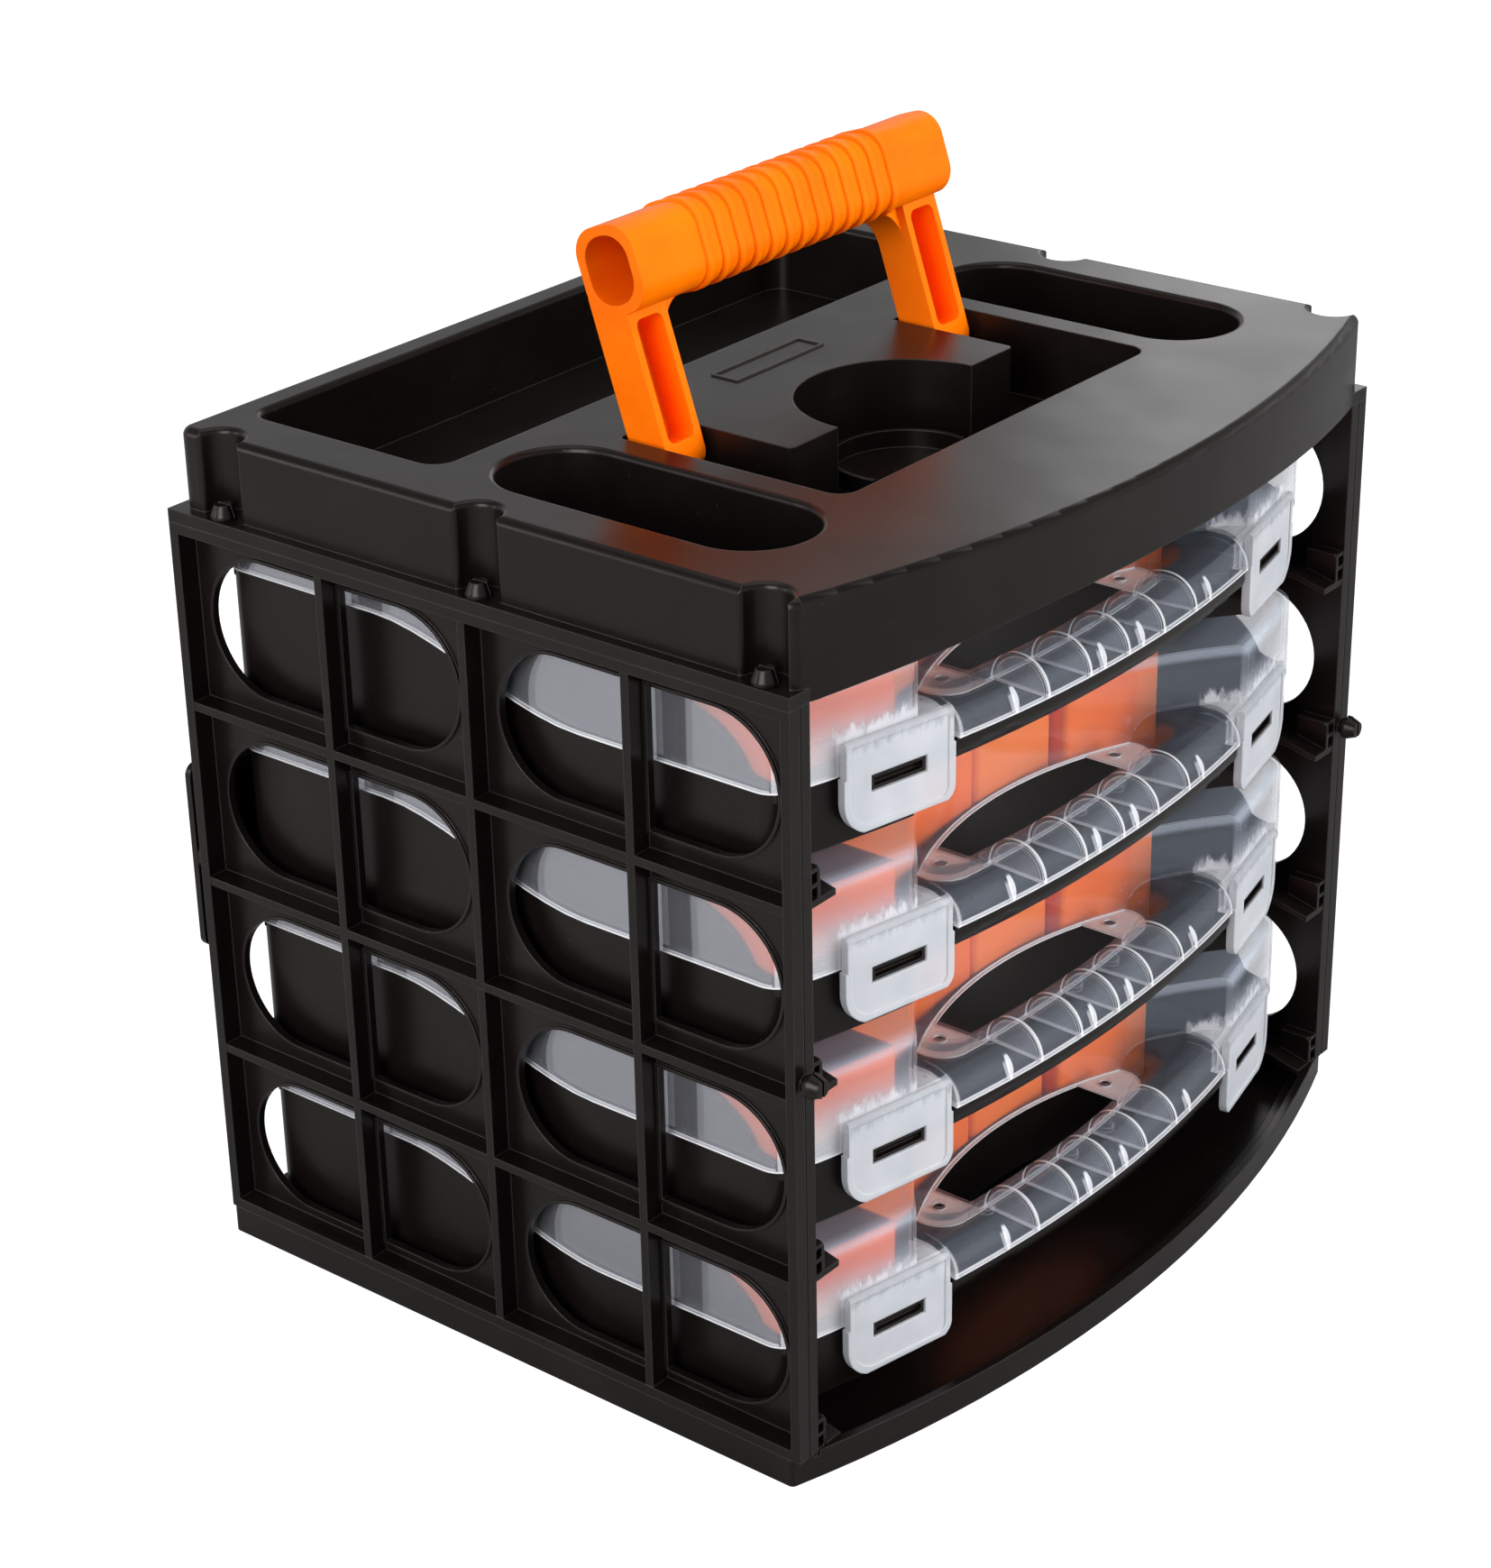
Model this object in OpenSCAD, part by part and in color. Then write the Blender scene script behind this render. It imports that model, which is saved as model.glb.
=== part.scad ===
// Drawer organizer box: two lattice side panels, a base and a pocketed top cover carry
// four slide-out cases. Each case has a black tray, a clear lid with a moulded handle bar,
// two swinging clips and lift-out bins. A carrying handle folds flush into the cover.
// X runs to the right, Y to the back and Z up, from the middle of the underside.

/* [Rack] */
// Width over both side panels
rack_w = 320.6; // [312:0.2:340]
// Front to back length of a side panel
rack_d = 250; // [246:1:270]
// Height from one row to the next
row_pitch = 63.8; // [63:0.2:72]
// Height of the base
base_h = 10; // [9:0.5:14]
// Radius of the bowed fronts, seen from above
bow_r = 485; // [450:5:650]
// How far the bowed rack front stands before the panels
front_bow = 24; // [20:1:30]

/* [Side panels] */
// Depth of a side panel with its ribs
panel_t = 9.2; // [8:0.1:11]
// Thickness of the web between the ribs
web_t = 1.7; // [1.4:0.1:2.6]
// Width of the ribs
rib_w = 3; // [2:0.2:4]
// Width of the rim round the panel
rim_w = 3.6; // [3:0.2:5]
// Height of a window
window_h = 47.2; // [40:0.2:50]
// Length of a window over both halves
window_l = 107; // [96:0.5:110]
// Width of the raised lip round a window
lip_w = 1; // [0.8:0.1:1.6]
// Height of the raised lip above the web
lip_h = 1.1; // [0.6:0.1:1.6]
// How far a rail reaches in from the panel
rail_reach = 11.7; // [9:0.1:14]
// Thickness of a rail
rail_t = 2; // [1.6:0.1:2.4]
// Length of the sloped lead-in of a rail
lead_in_l = 12; // [8:1:20]
// Drop of the lead-in at the front
lead_in_drop = 3; // [1:0.2:3.4]

/* [Studs] */
// Radius of a stud's shank
stud_r = 2.8; // [2.2:0.1:3.2]
// Radius of a stud's head
stud_head_r = 4.2; // [3.6:0.1:4.6]
// Height of a stud's head
stud_head_h = 4.6; // [3:0.2:6]
// Width of the split in a stud
stud_split = 1.2; // [0.8:0.1:1.6]
// Distance from one stud to the next along a panel
stud_pitch = 108.5; // [106:0.5:109]
// Position of the middle stud
stud_mid_y = -4.5; // [-6:0.5:-3]
// Height of the middle studs and the rear brace above the floor
stud_z = 144.4; // [130:0.2:150]

/* [Base] */
// Thickness of the base floor
base_floor_t = 2.4; // [2:0.1:4]
// Thickness of the base's front and rear walls
base_wall = 3; // [2.4:0.1:4]
// Rounding of the base's upright corners
base_corner = 2; // [1:0.5:2]

/* [Rear brace] */
// Height of the brace
brace_h = 67.6; // [50:0.2:80]
// Thickness of the brace
brace_t = 2.2; // [1.8:0.1:3]
// Gap that the bosses hold between the brace and the panels
brace_gap = 1.6; // [1:0.1:3]

/* [Top cover] */
// Height of the cover above the panels
cover_h = 31.3; // [30:0.1:40]
// Step in from the panels to the cover's skirt
cover_step = 4; // [3:0.1:5]
// Thickness of the cover's top and walls
cover_wall = 2.3; // [2:0.1:3]
// Thickness of the flange on the panels
flange_t = 4.4; // [3:0.1:5]
// Rounding of the cover's outer top edge
cover_round = 3; // [2:0.1:3.5]
// Rounding of the cover's upright corners
cover_corner = 5; // [4:0.5:7]
// Rise of the arched lower edge at the front
arch_rise = 5.3; // [3:0.1:7]
// Radius of the side grooves
groove_r = 8; // [7:0.1:9]
// Rounding of a groove's and a pocket's edges
rim_round = 2; // [1:0.1:3]
// Depth of the pockets
pocket_depth = 28; // [20:0.5:28.4]
// Depth of the handle well
well_depth = 26; // [25.8:0.1:28]
// Half length of the rear pocket
rear_pocket_hw = 134; // [110:1:136]
// Front edge of the rear pocket
rear_pocket_y = 30.5; // [28:0.5:50]
// Distance from the rear pocket to the cover's rear edge
rear_land = 11.5; // [8:0.5:16]
// Rounding of the corners of the rear pocket and the well
pocket_corner = 7; // [5:0.5:9]
// Width of a side pocket
side_pocket_w = 42; // [34:0.5:42]
// Length of a side pocket
side_pocket_l = 114; // [90:1:116]
// Distance from the middle to the inner side of a side pocket
side_pocket_x = 94; // [94:0.2:98]
// Rear end of a side pocket
side_pocket_y = 17; // [12:0.5:18]
// Radius of the finger notch in the cover's tongue
notch_r = 36; // [30:0.5:38]
// Radius of the open ring on the well's floor
ring_rib_r = 25.2; // [16:0.2:27]
// Height of that ring
ring_rib_h = 6; // [3:0.5:12]
// Front edge of the tongue
tongue_y = -48; // [-50:0.5:-44]

/* [Carrying handle] */
// Width over both legs
handle_w = 160; // [150:1:162]
// Width of a leg
leg_w = 18; // [14:0.5:20]
// Thickness of a leg
leg_d = 14; // [12:0.2:15]
// Walls of a leg beside and behind its channel
leg_wall = 2.8; // [2:0.1:4]
// Height of the grip's top above the pivot
grip_top = 74.6; // [70:0.2:76]
// Size of the grip along the legs
grip_h = 28; // [26:0.2:30]
// Size of the grip from front to back
grip_d = 23.8; // [22:0.2:24.4]
// Rounding of the grip's long edges
grip_corner = 9; // [7:0.5:10]
// Fillet between a leg and the grip
leg_fillet = 12; // [8:0.5:14]
// Wall of the hollow grip
grip_wall = 3.1; // [2.4:0.1:4]
// Number of rings on the grip
ring_count = 13; // [5:1:14]
// Spacing of the rings
ring_pitch = 8; // [6:0.5:8.5]
// Height of a ring
ring_h = 0.8; // [0.4:0.1:1.2]
// Pivot's distance behind the middle
pivot_y = -9; // [-12:0.5:-7]
// Lean of the raised handle towards the back
handle_lean = 18.4; // [10:0.2:24]
// Radius of the stub axles
axle_r = 4; // [3:0.1:4.4]
// Length of the stub axles
axle_l = 5.4; // [4:0.2:6.6]

/* [Cases] */
// Gap between a lid and the panel beside it
case_side_gap = 3.9; // [3.5:0.1:5]
// Gap from the case's back to the panels' rear edge
case_back_gap = 7.5; // [5:0.5:12]
// How far a case's bowed body stands before the panels
case_bow = 6.2; // [4:0.2:9]
// How far a handle bar stands before its case
bar_proud = 3.4; // [1:0.2:4]
// Step in from the lid to the tray
tray_step = 1.1; // [0.8:0.1:1.6]
// Height of the lid's top above the row
lid_top = 58.5; // [57:0.1:59]
// Wall thickness of a lid
lid_wall = 1.5; // [1.2:0.1:2]
// Rounding of the lid's upper edge
lid_round = 5; // [4:0.2:7]
// Rounding of a case's upright corners
case_corner = 9; // [8:0.5:11]
// Wall thickness of a tray
tray_wall = 1.6; // [1.2:0.1:2.4]
// Height of the tray's middle underside above the row
tray_lift = 5.2; // [5:0.1:7]
// Depth of the tray's side skids
skid_h = 1.6; // [1:0.1:1.8]
// Width of the tray's side skids
skid_w = 17; // [12:0.5:20]
// Height of the joint between lid and tray at the front
split_front = 27.4; // [26.6:0.2:29]
// Height of the joint between lid and tray at the back
split_rear = 46.2; // [42:0.2:48]
// Radius of the finger scoop, seen from above
scoop_r = 140; // [125:1:160]
// Back of the finger scoop
scoop_y = -84.5; // [-88:0.5:-80]
// Half width of the finger opening
opening_hw = 43; // [36:0.5:46]
// Depth of the handle bar from front to back
bar_d = 23; // [22:0.5:26]
// Height of the bar's upper half
bar_up = 11.6; // [11:0.2:13]
// Height of the bar's lower half
bar_down = 9; // [7:0.2:11]
// Rounding of the bar's upper edges
bar_top_corner = 11; // [8:0.5:11]
// Rounding of the bar's lower edges
bar_low_corner = 6; // [4:0.5:6.5]
// Half width at which the bar meets its roots
bar_root_x = 60; // [56:0.5:64]
// Fillet between the bar and its roots, seen from above
root_fillet = 9; // [5:0.5:9]
// Spacing of the webs inside the bar
bar_web_pitch = 21; // [16:0.5:24]
// Thickness of those webs
bar_web_t = 1; // [0.8:0.1:1.6]

/* [Clips] */
// Width of a clip
clip_w = 42; // [36:0.5:44]
// Height of a clip below its pivot
clip_drop = 28.8; // [26:0.2:30]
// Thickness of a clip
clip_t = 2.4; // [1.8:0.1:3]
// Rounding of a clip's outer lower corner
clip_corner = 11; // [6:0.5:13]
// Distance of a clip's middle from the lid's side
clip_side = 42.8; // [39:0.2:44]
// Height of the clip's pivot above the row
clip_pivot_z = 37.6; // [37:0.2:39]
// Width of a clip's raised edge
clip_rim_w = 1.8; // [1:0.1:3]
// Height of a clip's raised edge
clip_rim_h = 0.5; // [0.2:0.1:1]
// How far the lower part of a clip is wider on each side
clip_flare = 0.8; // [0.4:0.1:1.4]
// Width of the slot in a clip
slot_w = 22; // [16:0.5:26]
// Height of the slot in a clip
slot_h = 5.6; // [4:0.2:7]
// Drop from the pivot to the middle of the slot
slot_drop = 14.2; // [12:0.2:16]
// Rounding of a clip's lower corner towards the handle bar
clip_inner_corner = 5; // [3:0.5:8]

/* [Bins] */
// Wall thickness of a bin
bin_wall = 1; // [0.8:0.1:1.4]
// Height of a bin's rim above the row
bin_top = 54.4; // [48:0.2:55]
// Width of a bin with its share of the gap
bin_pitch = 45; // [42:0.5:46]
// Gap from the rows of bins to the tray's side walls
bin_side_gap = 2.5; // [2.5:0.5:5]
// Depth of a rear bin with its share of the gap
bin_row_pitch = 54.5; // [50:0.5:54.5]
// Width of the cross compartment before the rear bins
cross_w = 28; // [20:1:34]

/* [Clearances] */
// Gap between pieces that slide or swing past each other
slide_gap = 0.3; // [0.2:0.05:0.6]
// Radial play of the handle's axles
axle_gap = 0.06; // [0.03:0.01:0.09]
// Radial play of a stud in its hole
stud_gap = 0.15; // [0.1:0.05:0.3]
// Gap round a bin
bin_gap = 0.4; // [0.3:0.1:0.8]

/* [Hidden] */
rows = 4;
case_parts = ["tray", "lid", "left_clip", "right_clip", "front_bins", "rear_bins"];
$fn = 48;
bow_fn = 360;
far = 400;
cut = 1;
// Growth of an edge's arc, so that it crosses the faces beside it instead of only touching them
arc_bite = 1.002;
// Where an arc runs on into a bow or a straight side, the two overlap by seam_lap and the
// arc lies back by seam_step, so that no two faces nearly coincide
seam_lap = 0.1;
seam_step = 0.02;

panel_top = base_h + rows * row_pitch;
panel_in = rack_w / 2 - panel_t;
panel_mid = rack_w / 2 - panel_t / 2;
stud_xs = panel_mid;
stud_ys = [for (s = [-1, 0, 1]) stud_mid_y + s * stud_pitch];
peg_l = 5.6;

cover_top = panel_top + cover_h;
cover_hw = rack_w / 2 - cover_step;
cover_back = rack_d / 2 - cover_step + cut;
pivot_z = cover_top - leg_d / 2;
well_side_gap = 3;
well_hw = handle_w / 2 + well_side_gap;
lean_reach = leg_d / 2 / cos(handle_lean) + (cover_top - pivot_z) * tan(handle_lean);
well_back = pivot_y + lean_reach + 2 * slide_gap;
well_front = pivot_y - grip_top - 8 * slide_gap;
tongue_gap = 2.5;
tongue_hw = handle_w / 2 - leg_w - tongue_gap;
rear_pocket_back = cover_back - rear_land;

lid_hw = panel_in - case_side_gap;
inner_hw = lid_hw - tray_step - tray_wall;
bin_left = bin_side_gap - inner_hw;
bin_columns_n = 6;
// The last column of bins takes up what the others leave
wide_bin_w = inner_hw - bin_side_gap - bin_left - (bin_columns_n - 1) * bin_pitch;
case_back = rack_d / 2 - case_back_gap;
case_apex = -rack_d / 2 - case_bow;
bow_y = case_apex + bow_r;
bar_front_r = bow_r + bar_proud;
bar_rear_r = bar_front_r - bar_d;
scoop_cy = scoop_y - scoop_r;
skid_z = tray_lift - skid_h;
floor_top = tray_lift + tray_wall;
rail_top = skid_z - slide_gap;
clip_x = lid_hw - clip_side;
bar_clip_gap = 0.8;
bar_end_x = clip_x - clip_w / 2 - clip_flare - bar_clip_gap;
root_end_x = 100;
root_step = 0.5;
clip_turn = asin(clip_x / bow_r);
clip_face_y = bow_y - sqrt(pow(bow_r, 2) - pow(clip_x, 2));
bead_r = (clip_t + clip_rim_h) / 2;
tray_gap = 0.1;

// Drawing helpers
module slab(z0, z1) {
    translate([0, 0, z0]) linear_extrude(z1 - z0) children();
}

// A drawing in Y and Z, extruded along X
module across(x0, x1) {
    translate([x0, 0, 0]) rotate([90, 0, 90]) linear_extrude(x1 - x0) children();
}

module both_sides() {
    children();
    mirror([1, 0, 0]) children();
}

module rounded(x0, x1, y0, y1, r) {
    translate([x0 + r, y0]) square([x1 - x0 - 2 * r, y1 - y0]);
    translate([x0, y0 + r]) square([x1 - x0, y1 - y0 - 2 * r]);
    for (x = [x0 + r, x1 - r], y = [y0 + r, y1 - r]) translate([x, y]) circle(r);
}

// Height of the middle of the circle that rounds a corner between a straight side and the bow
function corner_y(hw, apex, bow, r) = apex + bow - sqrt(pow(bow - r, 2) - pow(hw - r, 2));

// Outline with straight sides and back and a bowed front
module bowed(hw, back, apex, bow, r) {
    cy = corner_y(hw, apex, bow, r);
    end_x = (hw - r) * bow / (bow - r) + seam_lap;
    y0 = cy - seam_lap;
    y1 = back - r + seam_lap;
    back_hw = hw - r + seam_lap;
    intersection() {
        translate([0, apex + bow]) circle(bow, $fn = bow_fn);
        translate([-end_x, apex - cut]) square([2 * end_x, cy - apex + 2 * cut]);
    }
    translate([-hw, y0]) square([2 * hw, y1 - y0]);
    translate([-back_hw, back - r - cut]) square([2 * back_hw, r + cut]);
    for (s = [-1, 1], y = [cy, back - r]) translate([s * (hw - r), y]) circle(r - seam_step);
}

// What a rounded edge takes away, drawn with the sharp edge at the origin
module edge_waste(r) {
    difference() {
        translate([-r, -r]) square(r + cut);
        translate([-r, -r]) circle(arc_bite * r);
    }
}

// Waste along the upper edge of a bowed outline
module bowed_edge_waste(hw, back, apex, bow, r, top, round_r) {
    cy = corner_y(hw, apex, bow, r);
    half = asin((hw - r) / (bow - r));
    bow_half = half + asin(seam_lap / bow);
    back_hw = hw - r + seam_lap;
    lap_turn = 1;
    translate([0, 0, top]) {
        translate([0, apex + bow, 0]) rotate([0, 0, 270 - bow_half])
            rotate_extrude(angle = 2 * bow_half, $fn = bow_fn) translate([bow, 0]) edge_waste(round_r);
        translate([-back_hw, back, 0]) rotate([90, 0, 90]) linear_extrude(2 * back_hw) edge_waste(round_r);
        both_sides() {
            translate([hw, back - r + seam_lap, 0]) rotate([90, 0, 0])
                linear_extrude(back - r - cy + 2 * seam_lap) edge_waste(round_r);
            for (c = [[cy, half - 90, 90 - half], [back - r, 0, 90]])
                translate([hw - r, c[0], 0]) rotate([0, 0, c[1] - lap_turn])
                    rotate_extrude(angle = c[2] + 2 * lap_turn)
                        translate([r + seam_step, seam_step]) edge_waste(round_r);
        }
    }
}

// A bowed block with a rounded upper edge
module pillow(hw, back, apex, bow, r, z0, z1, round_r) {
    difference() {
        slab(z0, z1) bowed(hw, back, apex, bow, r);
        bowed_edge_waste(hw, back, apex, bow, r, z1, round_r);
    }
}

// Profile of a hole's wall whose rim is rounded, from the axis outwards
module rim_profile(r, depth, round_r) {
    translate([0, -depth]) square([r, depth + cut]);
    translate([r - cut, -round_r]) difference() {
        square([round_r + cut, round_r + cut]);
        translate([round_r + cut, 0]) circle(arc_bite * round_r);
    }
}

// A sunk pocket with rounded corners and a rounded rim
module pocket(x0, x1, y0, y1, r, top, depth, round_r) {
    translate([0, 0, top]) {
        corners = [[x1 - r, y1 - r], [x0 + r, y1 - r], [x0 + r, y0 + r], [x1 - r, y0 + r]];
        for (n = [0 : 3]) translate(corners[n]) rotate([0, 0, 90 * n])
            rotate_extrude(angle = 90) rim_profile(r, depth, round_r);
        translate([x0 + r, 0, 0]) rotate([90, 0, 90]) linear_extrude(x1 - x0 - 2 * r) {
            translate([y1 - r, 0]) rim_profile(r, depth, round_r);
            translate([y0 + r, 0]) mirror([1, 0]) rim_profile(r, depth, round_r);
        }
        translate([0, y1 - r, 0]) rotate([90, 0, 0]) linear_extrude(y1 - y0 - 2 * r) {
            translate([x1 - r, 0]) rim_profile(r, depth, round_r);
            translate([x0 + r, 0]) mirror([1, 0]) rim_profile(r, depth, round_r);
        }
        translate([x0 + r, y0 + r, -depth]) cube([x1 - x0 - 2 * r, y1 - y0 - 2 * r, depth + cut]);
    }
}

// A split stud with a mushroom head, standing up from the origin
module stud(shank_l) {
    rim_h = 1;
    split_down = 2;
    top = shank_l + stud_head_h;
    difference() {
        rotate_extrude() polygon([
            [0, -cut], [stud_r, -cut], [stud_r, shank_l], [stud_head_r, shank_l],
            [stud_head_r, shank_l + rim_h], [stud_r, top], [0, top]]);
        translate([-stud_split / 2, -stud_head_r - cut, shank_l - split_down])
            cube([stud_split, 2 * (stud_head_r + cut), stud_head_h + split_down + cut]);
    }
}

// Base
module base_outline(inset) {
    apex = -rack_d / 2 - front_bow;
    bowed(rack_w / 2 - inset, rack_d / 2 - inset, apex + inset, bow_r - inset, base_corner);
}

module base() color([0.07, 0.07, 0.075]) {
    ledge_w = 5;
    bore_l = peg_l + slide_gap;
    difference() {
        slab(0, base_h) base_outline(0);
        slab(base_floor_t, base_h + cut) intersection() {
            base_outline(base_wall);
            square([2 * panel_in, far * 2], center = true);
        }
        for (s = [-1, 1], y = stud_ys)
            translate([s * stud_xs, y, base_h - bore_l]) cylinder(h = bore_l + cut, r = stud_r + stud_gap);
        // Notches for the lead-ins of the lowest rails
        both_sides() across(panel_in - rail_reach - slide_gap, panel_in + web_t / 2 + slide_gap)
            rail_underside(slide_gap);
    }
    // Low ledge inside the bowed front wall
    slab(base_floor_t - cut / 2, base_h / 2) difference() {
        intersection() {
            base_outline(base_wall / 2);
            translate([-panel_in, -far]) square([2 * panel_in, far - rack_d / 2 + ledge_w]);
        }
        base_outline(base_wall + ledge_w);
    }
}

// Side panels
function row_z(k) = base_h + k * row_pitch;
window_r = window_h / 2;
window_y = rack_d / 4 - 0.6;
window_z = row_pitch / 2 - 0.7;
rib_shift = -2.2;
rib_land = 1.2;

// One window, drawn in Y and Z round the middle of its bay, split by the bay's rib
module window(grow) {
    reach = window_l / 2 - window_r;
    rib_half = rib_w / 2 + rib_land - grow;
    difference() {
        union() {
            square([2 * reach, window_h + 2 * grow], center = true);
            for (s = [-1, 1]) translate([s * reach, 0]) circle(window_r + grow);
        }
        translate([rib_shift, 0]) square([2 * rib_half, far], center = true);
    }
}

module windows(grow) {
    for (k = [0 : rows - 1], s = [-1, 1]) translate([s * window_y, row_z(k) + window_z]) window(grow);
}

module panel_face() {
    translate([-rack_d / 2, base_h]) square([rack_d, panel_top - base_h]);
}

// The room that the lowest rail needs below the panel's foot, drawn in Y and Z
module rail_underside(gap) {
    z = base_h + rail_top - rail_t - gap;
    y0 = -rack_d / 2;
    polygon([
        [y0, z - lead_in_drop], [y0 + lead_in_l + slide_gap, z],
        [y0 + lead_in_l + slide_gap, z + far], [y0, z + far]]);
}

module rail(k) {
    z = row_z(k) + rail_top;
    y0 = -rack_d / 2 + slide_gap;
    y1 = rack_d / 2 - 3;
    fin_h = 7.3;
    fin_t = 1.2;
    fin_x = lid_hw - tray_step + fin_t / 2;
    across(panel_in - rail_reach, panel_in + web_t / 2) polygon([
        [y0, z - lead_in_drop], [y0 + lead_in_l, z], [y1, z],
        [y1, z - rail_t], [y0 + lead_in_l, z - rail_t], [y0, z - lead_in_drop - rail_t]]);
    // Boxed guide beside the lead-in
    across(fin_x, fin_x + fin_t) polygon([
        [y0, z - lead_in_drop - cut], [y0, z + fin_h - fin_t], [y0 + fin_t, z + fin_h],
        [y0 + lead_in_l, z + fin_h], [y0 + lead_in_l, z - cut]]);
    for (h = [fin_h - fin_t, fin_h / 2 - 2 * fin_t])
        across(fin_x + fin_t / 2, panel_in + web_t / 2) translate([y0, z + h]) square([lead_in_l, fin_t]);
}

module side_panel() {
    outer = rack_w / 2;
    web_out = panel_in + web_t;
    rib_step = 0.3;
    seam_w = 0.6;
    seam_depth = 0.5;
    seam_in = 5.2;
    difference() {
        union() {
            across(panel_in, web_out) panel_face();
            across(panel_in, outer) difference() {
                panel_face();
                translate([-rack_d / 2 + rim_w, base_h + rim_w])
                    square([rack_d - 2 * rim_w, panel_top - base_h - 2 * rim_w]);
            }
            across(panel_in, outer - rib_step) {
                for (k = [1 : rows - 1])
                    translate([-rack_d / 2 + cut, row_z(k) - rib_w / 2]) square([rack_d - 2 * cut, rib_w]);
                for (y = [0, window_y + rib_shift, rib_shift - window_y])
                    translate([y - rib_w / 2, base_h + cut]) square([rib_w, panel_top - base_h - 2 * cut]);
            }
            across(panel_in, web_out + lip_h) windows(lip_w);
        }
        across(panel_in - cut, web_out + lip_h + cut) windows(0);
        // Parting groove down the front edge
        translate([outer - seam_in, -rack_d / 2 - cut, base_h - cut])
            cube([seam_w, cut + seam_depth, panel_top]);
        // Gate mark at the middle crossing
        translate([outer - seam_depth, 0, row_z(rows / 2)]) rotate([0, 90, 0])
            cylinder(h = cut, r = 2 * seam_w);
    }
    for (k = [0 : rows - 1]) rail(k);
    for (y = stud_ys) {
        translate([stud_xs, y, panel_top]) stud(flange_t + slide_gap / 2);
        translate([stud_xs, y, base_h - peg_l]) cylinder(h = peg_l + cut, r = stud_r);
    }
    translate([stud_xs, -rack_d / 2, stud_z]) rotate([90, 0, 0]) stud(brace_t + slide_gap / 2);
    translate([stud_xs, rack_d / 2 - cut, stud_z]) rotate([-90, 0, 0])
        cylinder(h = cut + brace_gap + brace_t, r = stud_r);
}

module right_panel() color([0.07, 0.07, 0.075]) side_panel();
module left_panel() color([0.07, 0.07, 0.075]) mirror([1, 0, 0]) side_panel();

// Rear brace
module rear_brace() color([0.07, 0.07, 0.075]) {
    y0 = rack_d / 2 + brace_gap;
    z0 = stud_z - brace_h / 2;
    edge = 2;
    corner = 4;
    boss_r = stud_r + 1.7;
    difference() {
        union() {
            translate([0, y0 + brace_t, 0]) rotate([90, 0, 0]) linear_extrude(brace_t)
                rounded(-rack_w / 2, rack_w / 2, z0, z0 + brace_h, corner);
            for (s = [-1, 1]) translate([s * stud_xs, rack_d / 2, stud_z]) rotate([-90, 0, 0])
                cylinder(h = brace_gap + brace_t / 2, r = boss_r);
            // Stiffening edges that point inwards between the panels
            for (z = [z0 + corner, z0 + brace_h - corner - edge]) translate([edge - panel_in, y0 - edge, z])
                cube([2 * (panel_in - edge), edge + brace_t / 2, edge]);
        }
        for (s = [-1, 1]) translate([s * stud_xs, rack_d / 2 - cut, stud_z]) rotate([-90, 0, 0])
            cylinder(h = brace_gap + brace_t + 2 * cut, r = stud_r + stud_gap);
    }
}

// Top cover
module cover_outline(inset) {
    apex = -rack_d / 2 - front_bow;
    bowed(cover_hw - inset, cover_back - inset, apex + inset, bow_r - inset, cover_corner);
}

// Where a side groove cuts the skirt, drawn from above round the groove's middle. The
// rounded edges of its mouth bite a little into the groove, so that the arcs cross.
module groove_outline() {
    f = rim_round;
    mouth_bite = 0.05;
    face_x = cover_hw - stud_xs;
    dy = sqrt(pow(groove_r + f - mouth_bite, 2) - pow(face_x - f, 2));
    touch_x = (face_x - f) * groove_r / (groove_r + f);
    circle(groove_r);
    difference() {
        translate([touch_x, -dy]) square([panel_t, 2 * dy]);
        for (s = [-1, 1]) translate([face_x - f, s * dy]) circle(arc_bite * f);
    }
}

module grooves() {
    both_sides() for (y = stud_ys) translate([stud_xs, y, 0]) {
        slab(panel_top + flange_t, cover_top + cut) groove_outline();
        translate([0, 0, cover_top]) rotate_extrude() rim_profile(groove_r, cover_h / 2, rim_round);
    }
}

// The handle well seen from above: two leg channels, a trough and a round finger notch
module well_outline(grow) {
    r = 2;
    hw = tongue_hw - grow;
    difference() {
        union() {
            rounded(-well_hw - grow, well_hw + grow, well_front - grow, well_back + grow, pocket_corner);
            rounded(-well_hw - grow, well_hw + grow, pivot_y - leg_d, well_back + grow, r);
        }
        translate([0, tongue_y + grow]) difference() {
            translate([-hw, 0]) square([2 * hw, far]);
            for (s = [-1, 1]) translate([s * hw, 0]) rotate([0, 0, s > 0 ? 90 : 0]) difference() {
                square(r);
                translate([r, r]) circle(r);
            }
        }
    }
    translate([0, tongue_y]) circle(notch_r + grow, $fn = 2 * $fn);
}

module side_pocket_middles() {
    r = side_pocket_w / 2;
    for (y = [side_pocket_y - side_pocket_l + r, side_pocket_y - r])
        translate([side_pocket_x + r, y, cover_top]) children();
}

// A long pocket with round ends beside the well
module side_pocket() {
    r = side_pocket_w / 2;
    side_pocket_middles() rotate_extrude() rim_profile(r, pocket_depth, rim_round);
    translate([side_pocket_x + r, side_pocket_y - r, cover_top]) rotate([90, 0, 0])
        linear_extrude(side_pocket_l - 2 * r) {
            rim_profile(r, pocket_depth, rim_round);
            mirror([1, 0]) rim_profile(r, pocket_depth, rim_round);
        }
}

// The tub under that pocket
module side_tub(low) {
    r = side_pocket_w / 2;
    w = cover_wall;
    side_pocket_middles() translate([0, 0, low]) cylinder(h = -low - w / 2, r = r + w);
    translate([side_pocket_x - w, side_pocket_y - side_pocket_l + r, cover_top + low])
        cube([2 * (r + w), side_pocket_l - 2 * r, -low - w / 2]);
}

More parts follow.
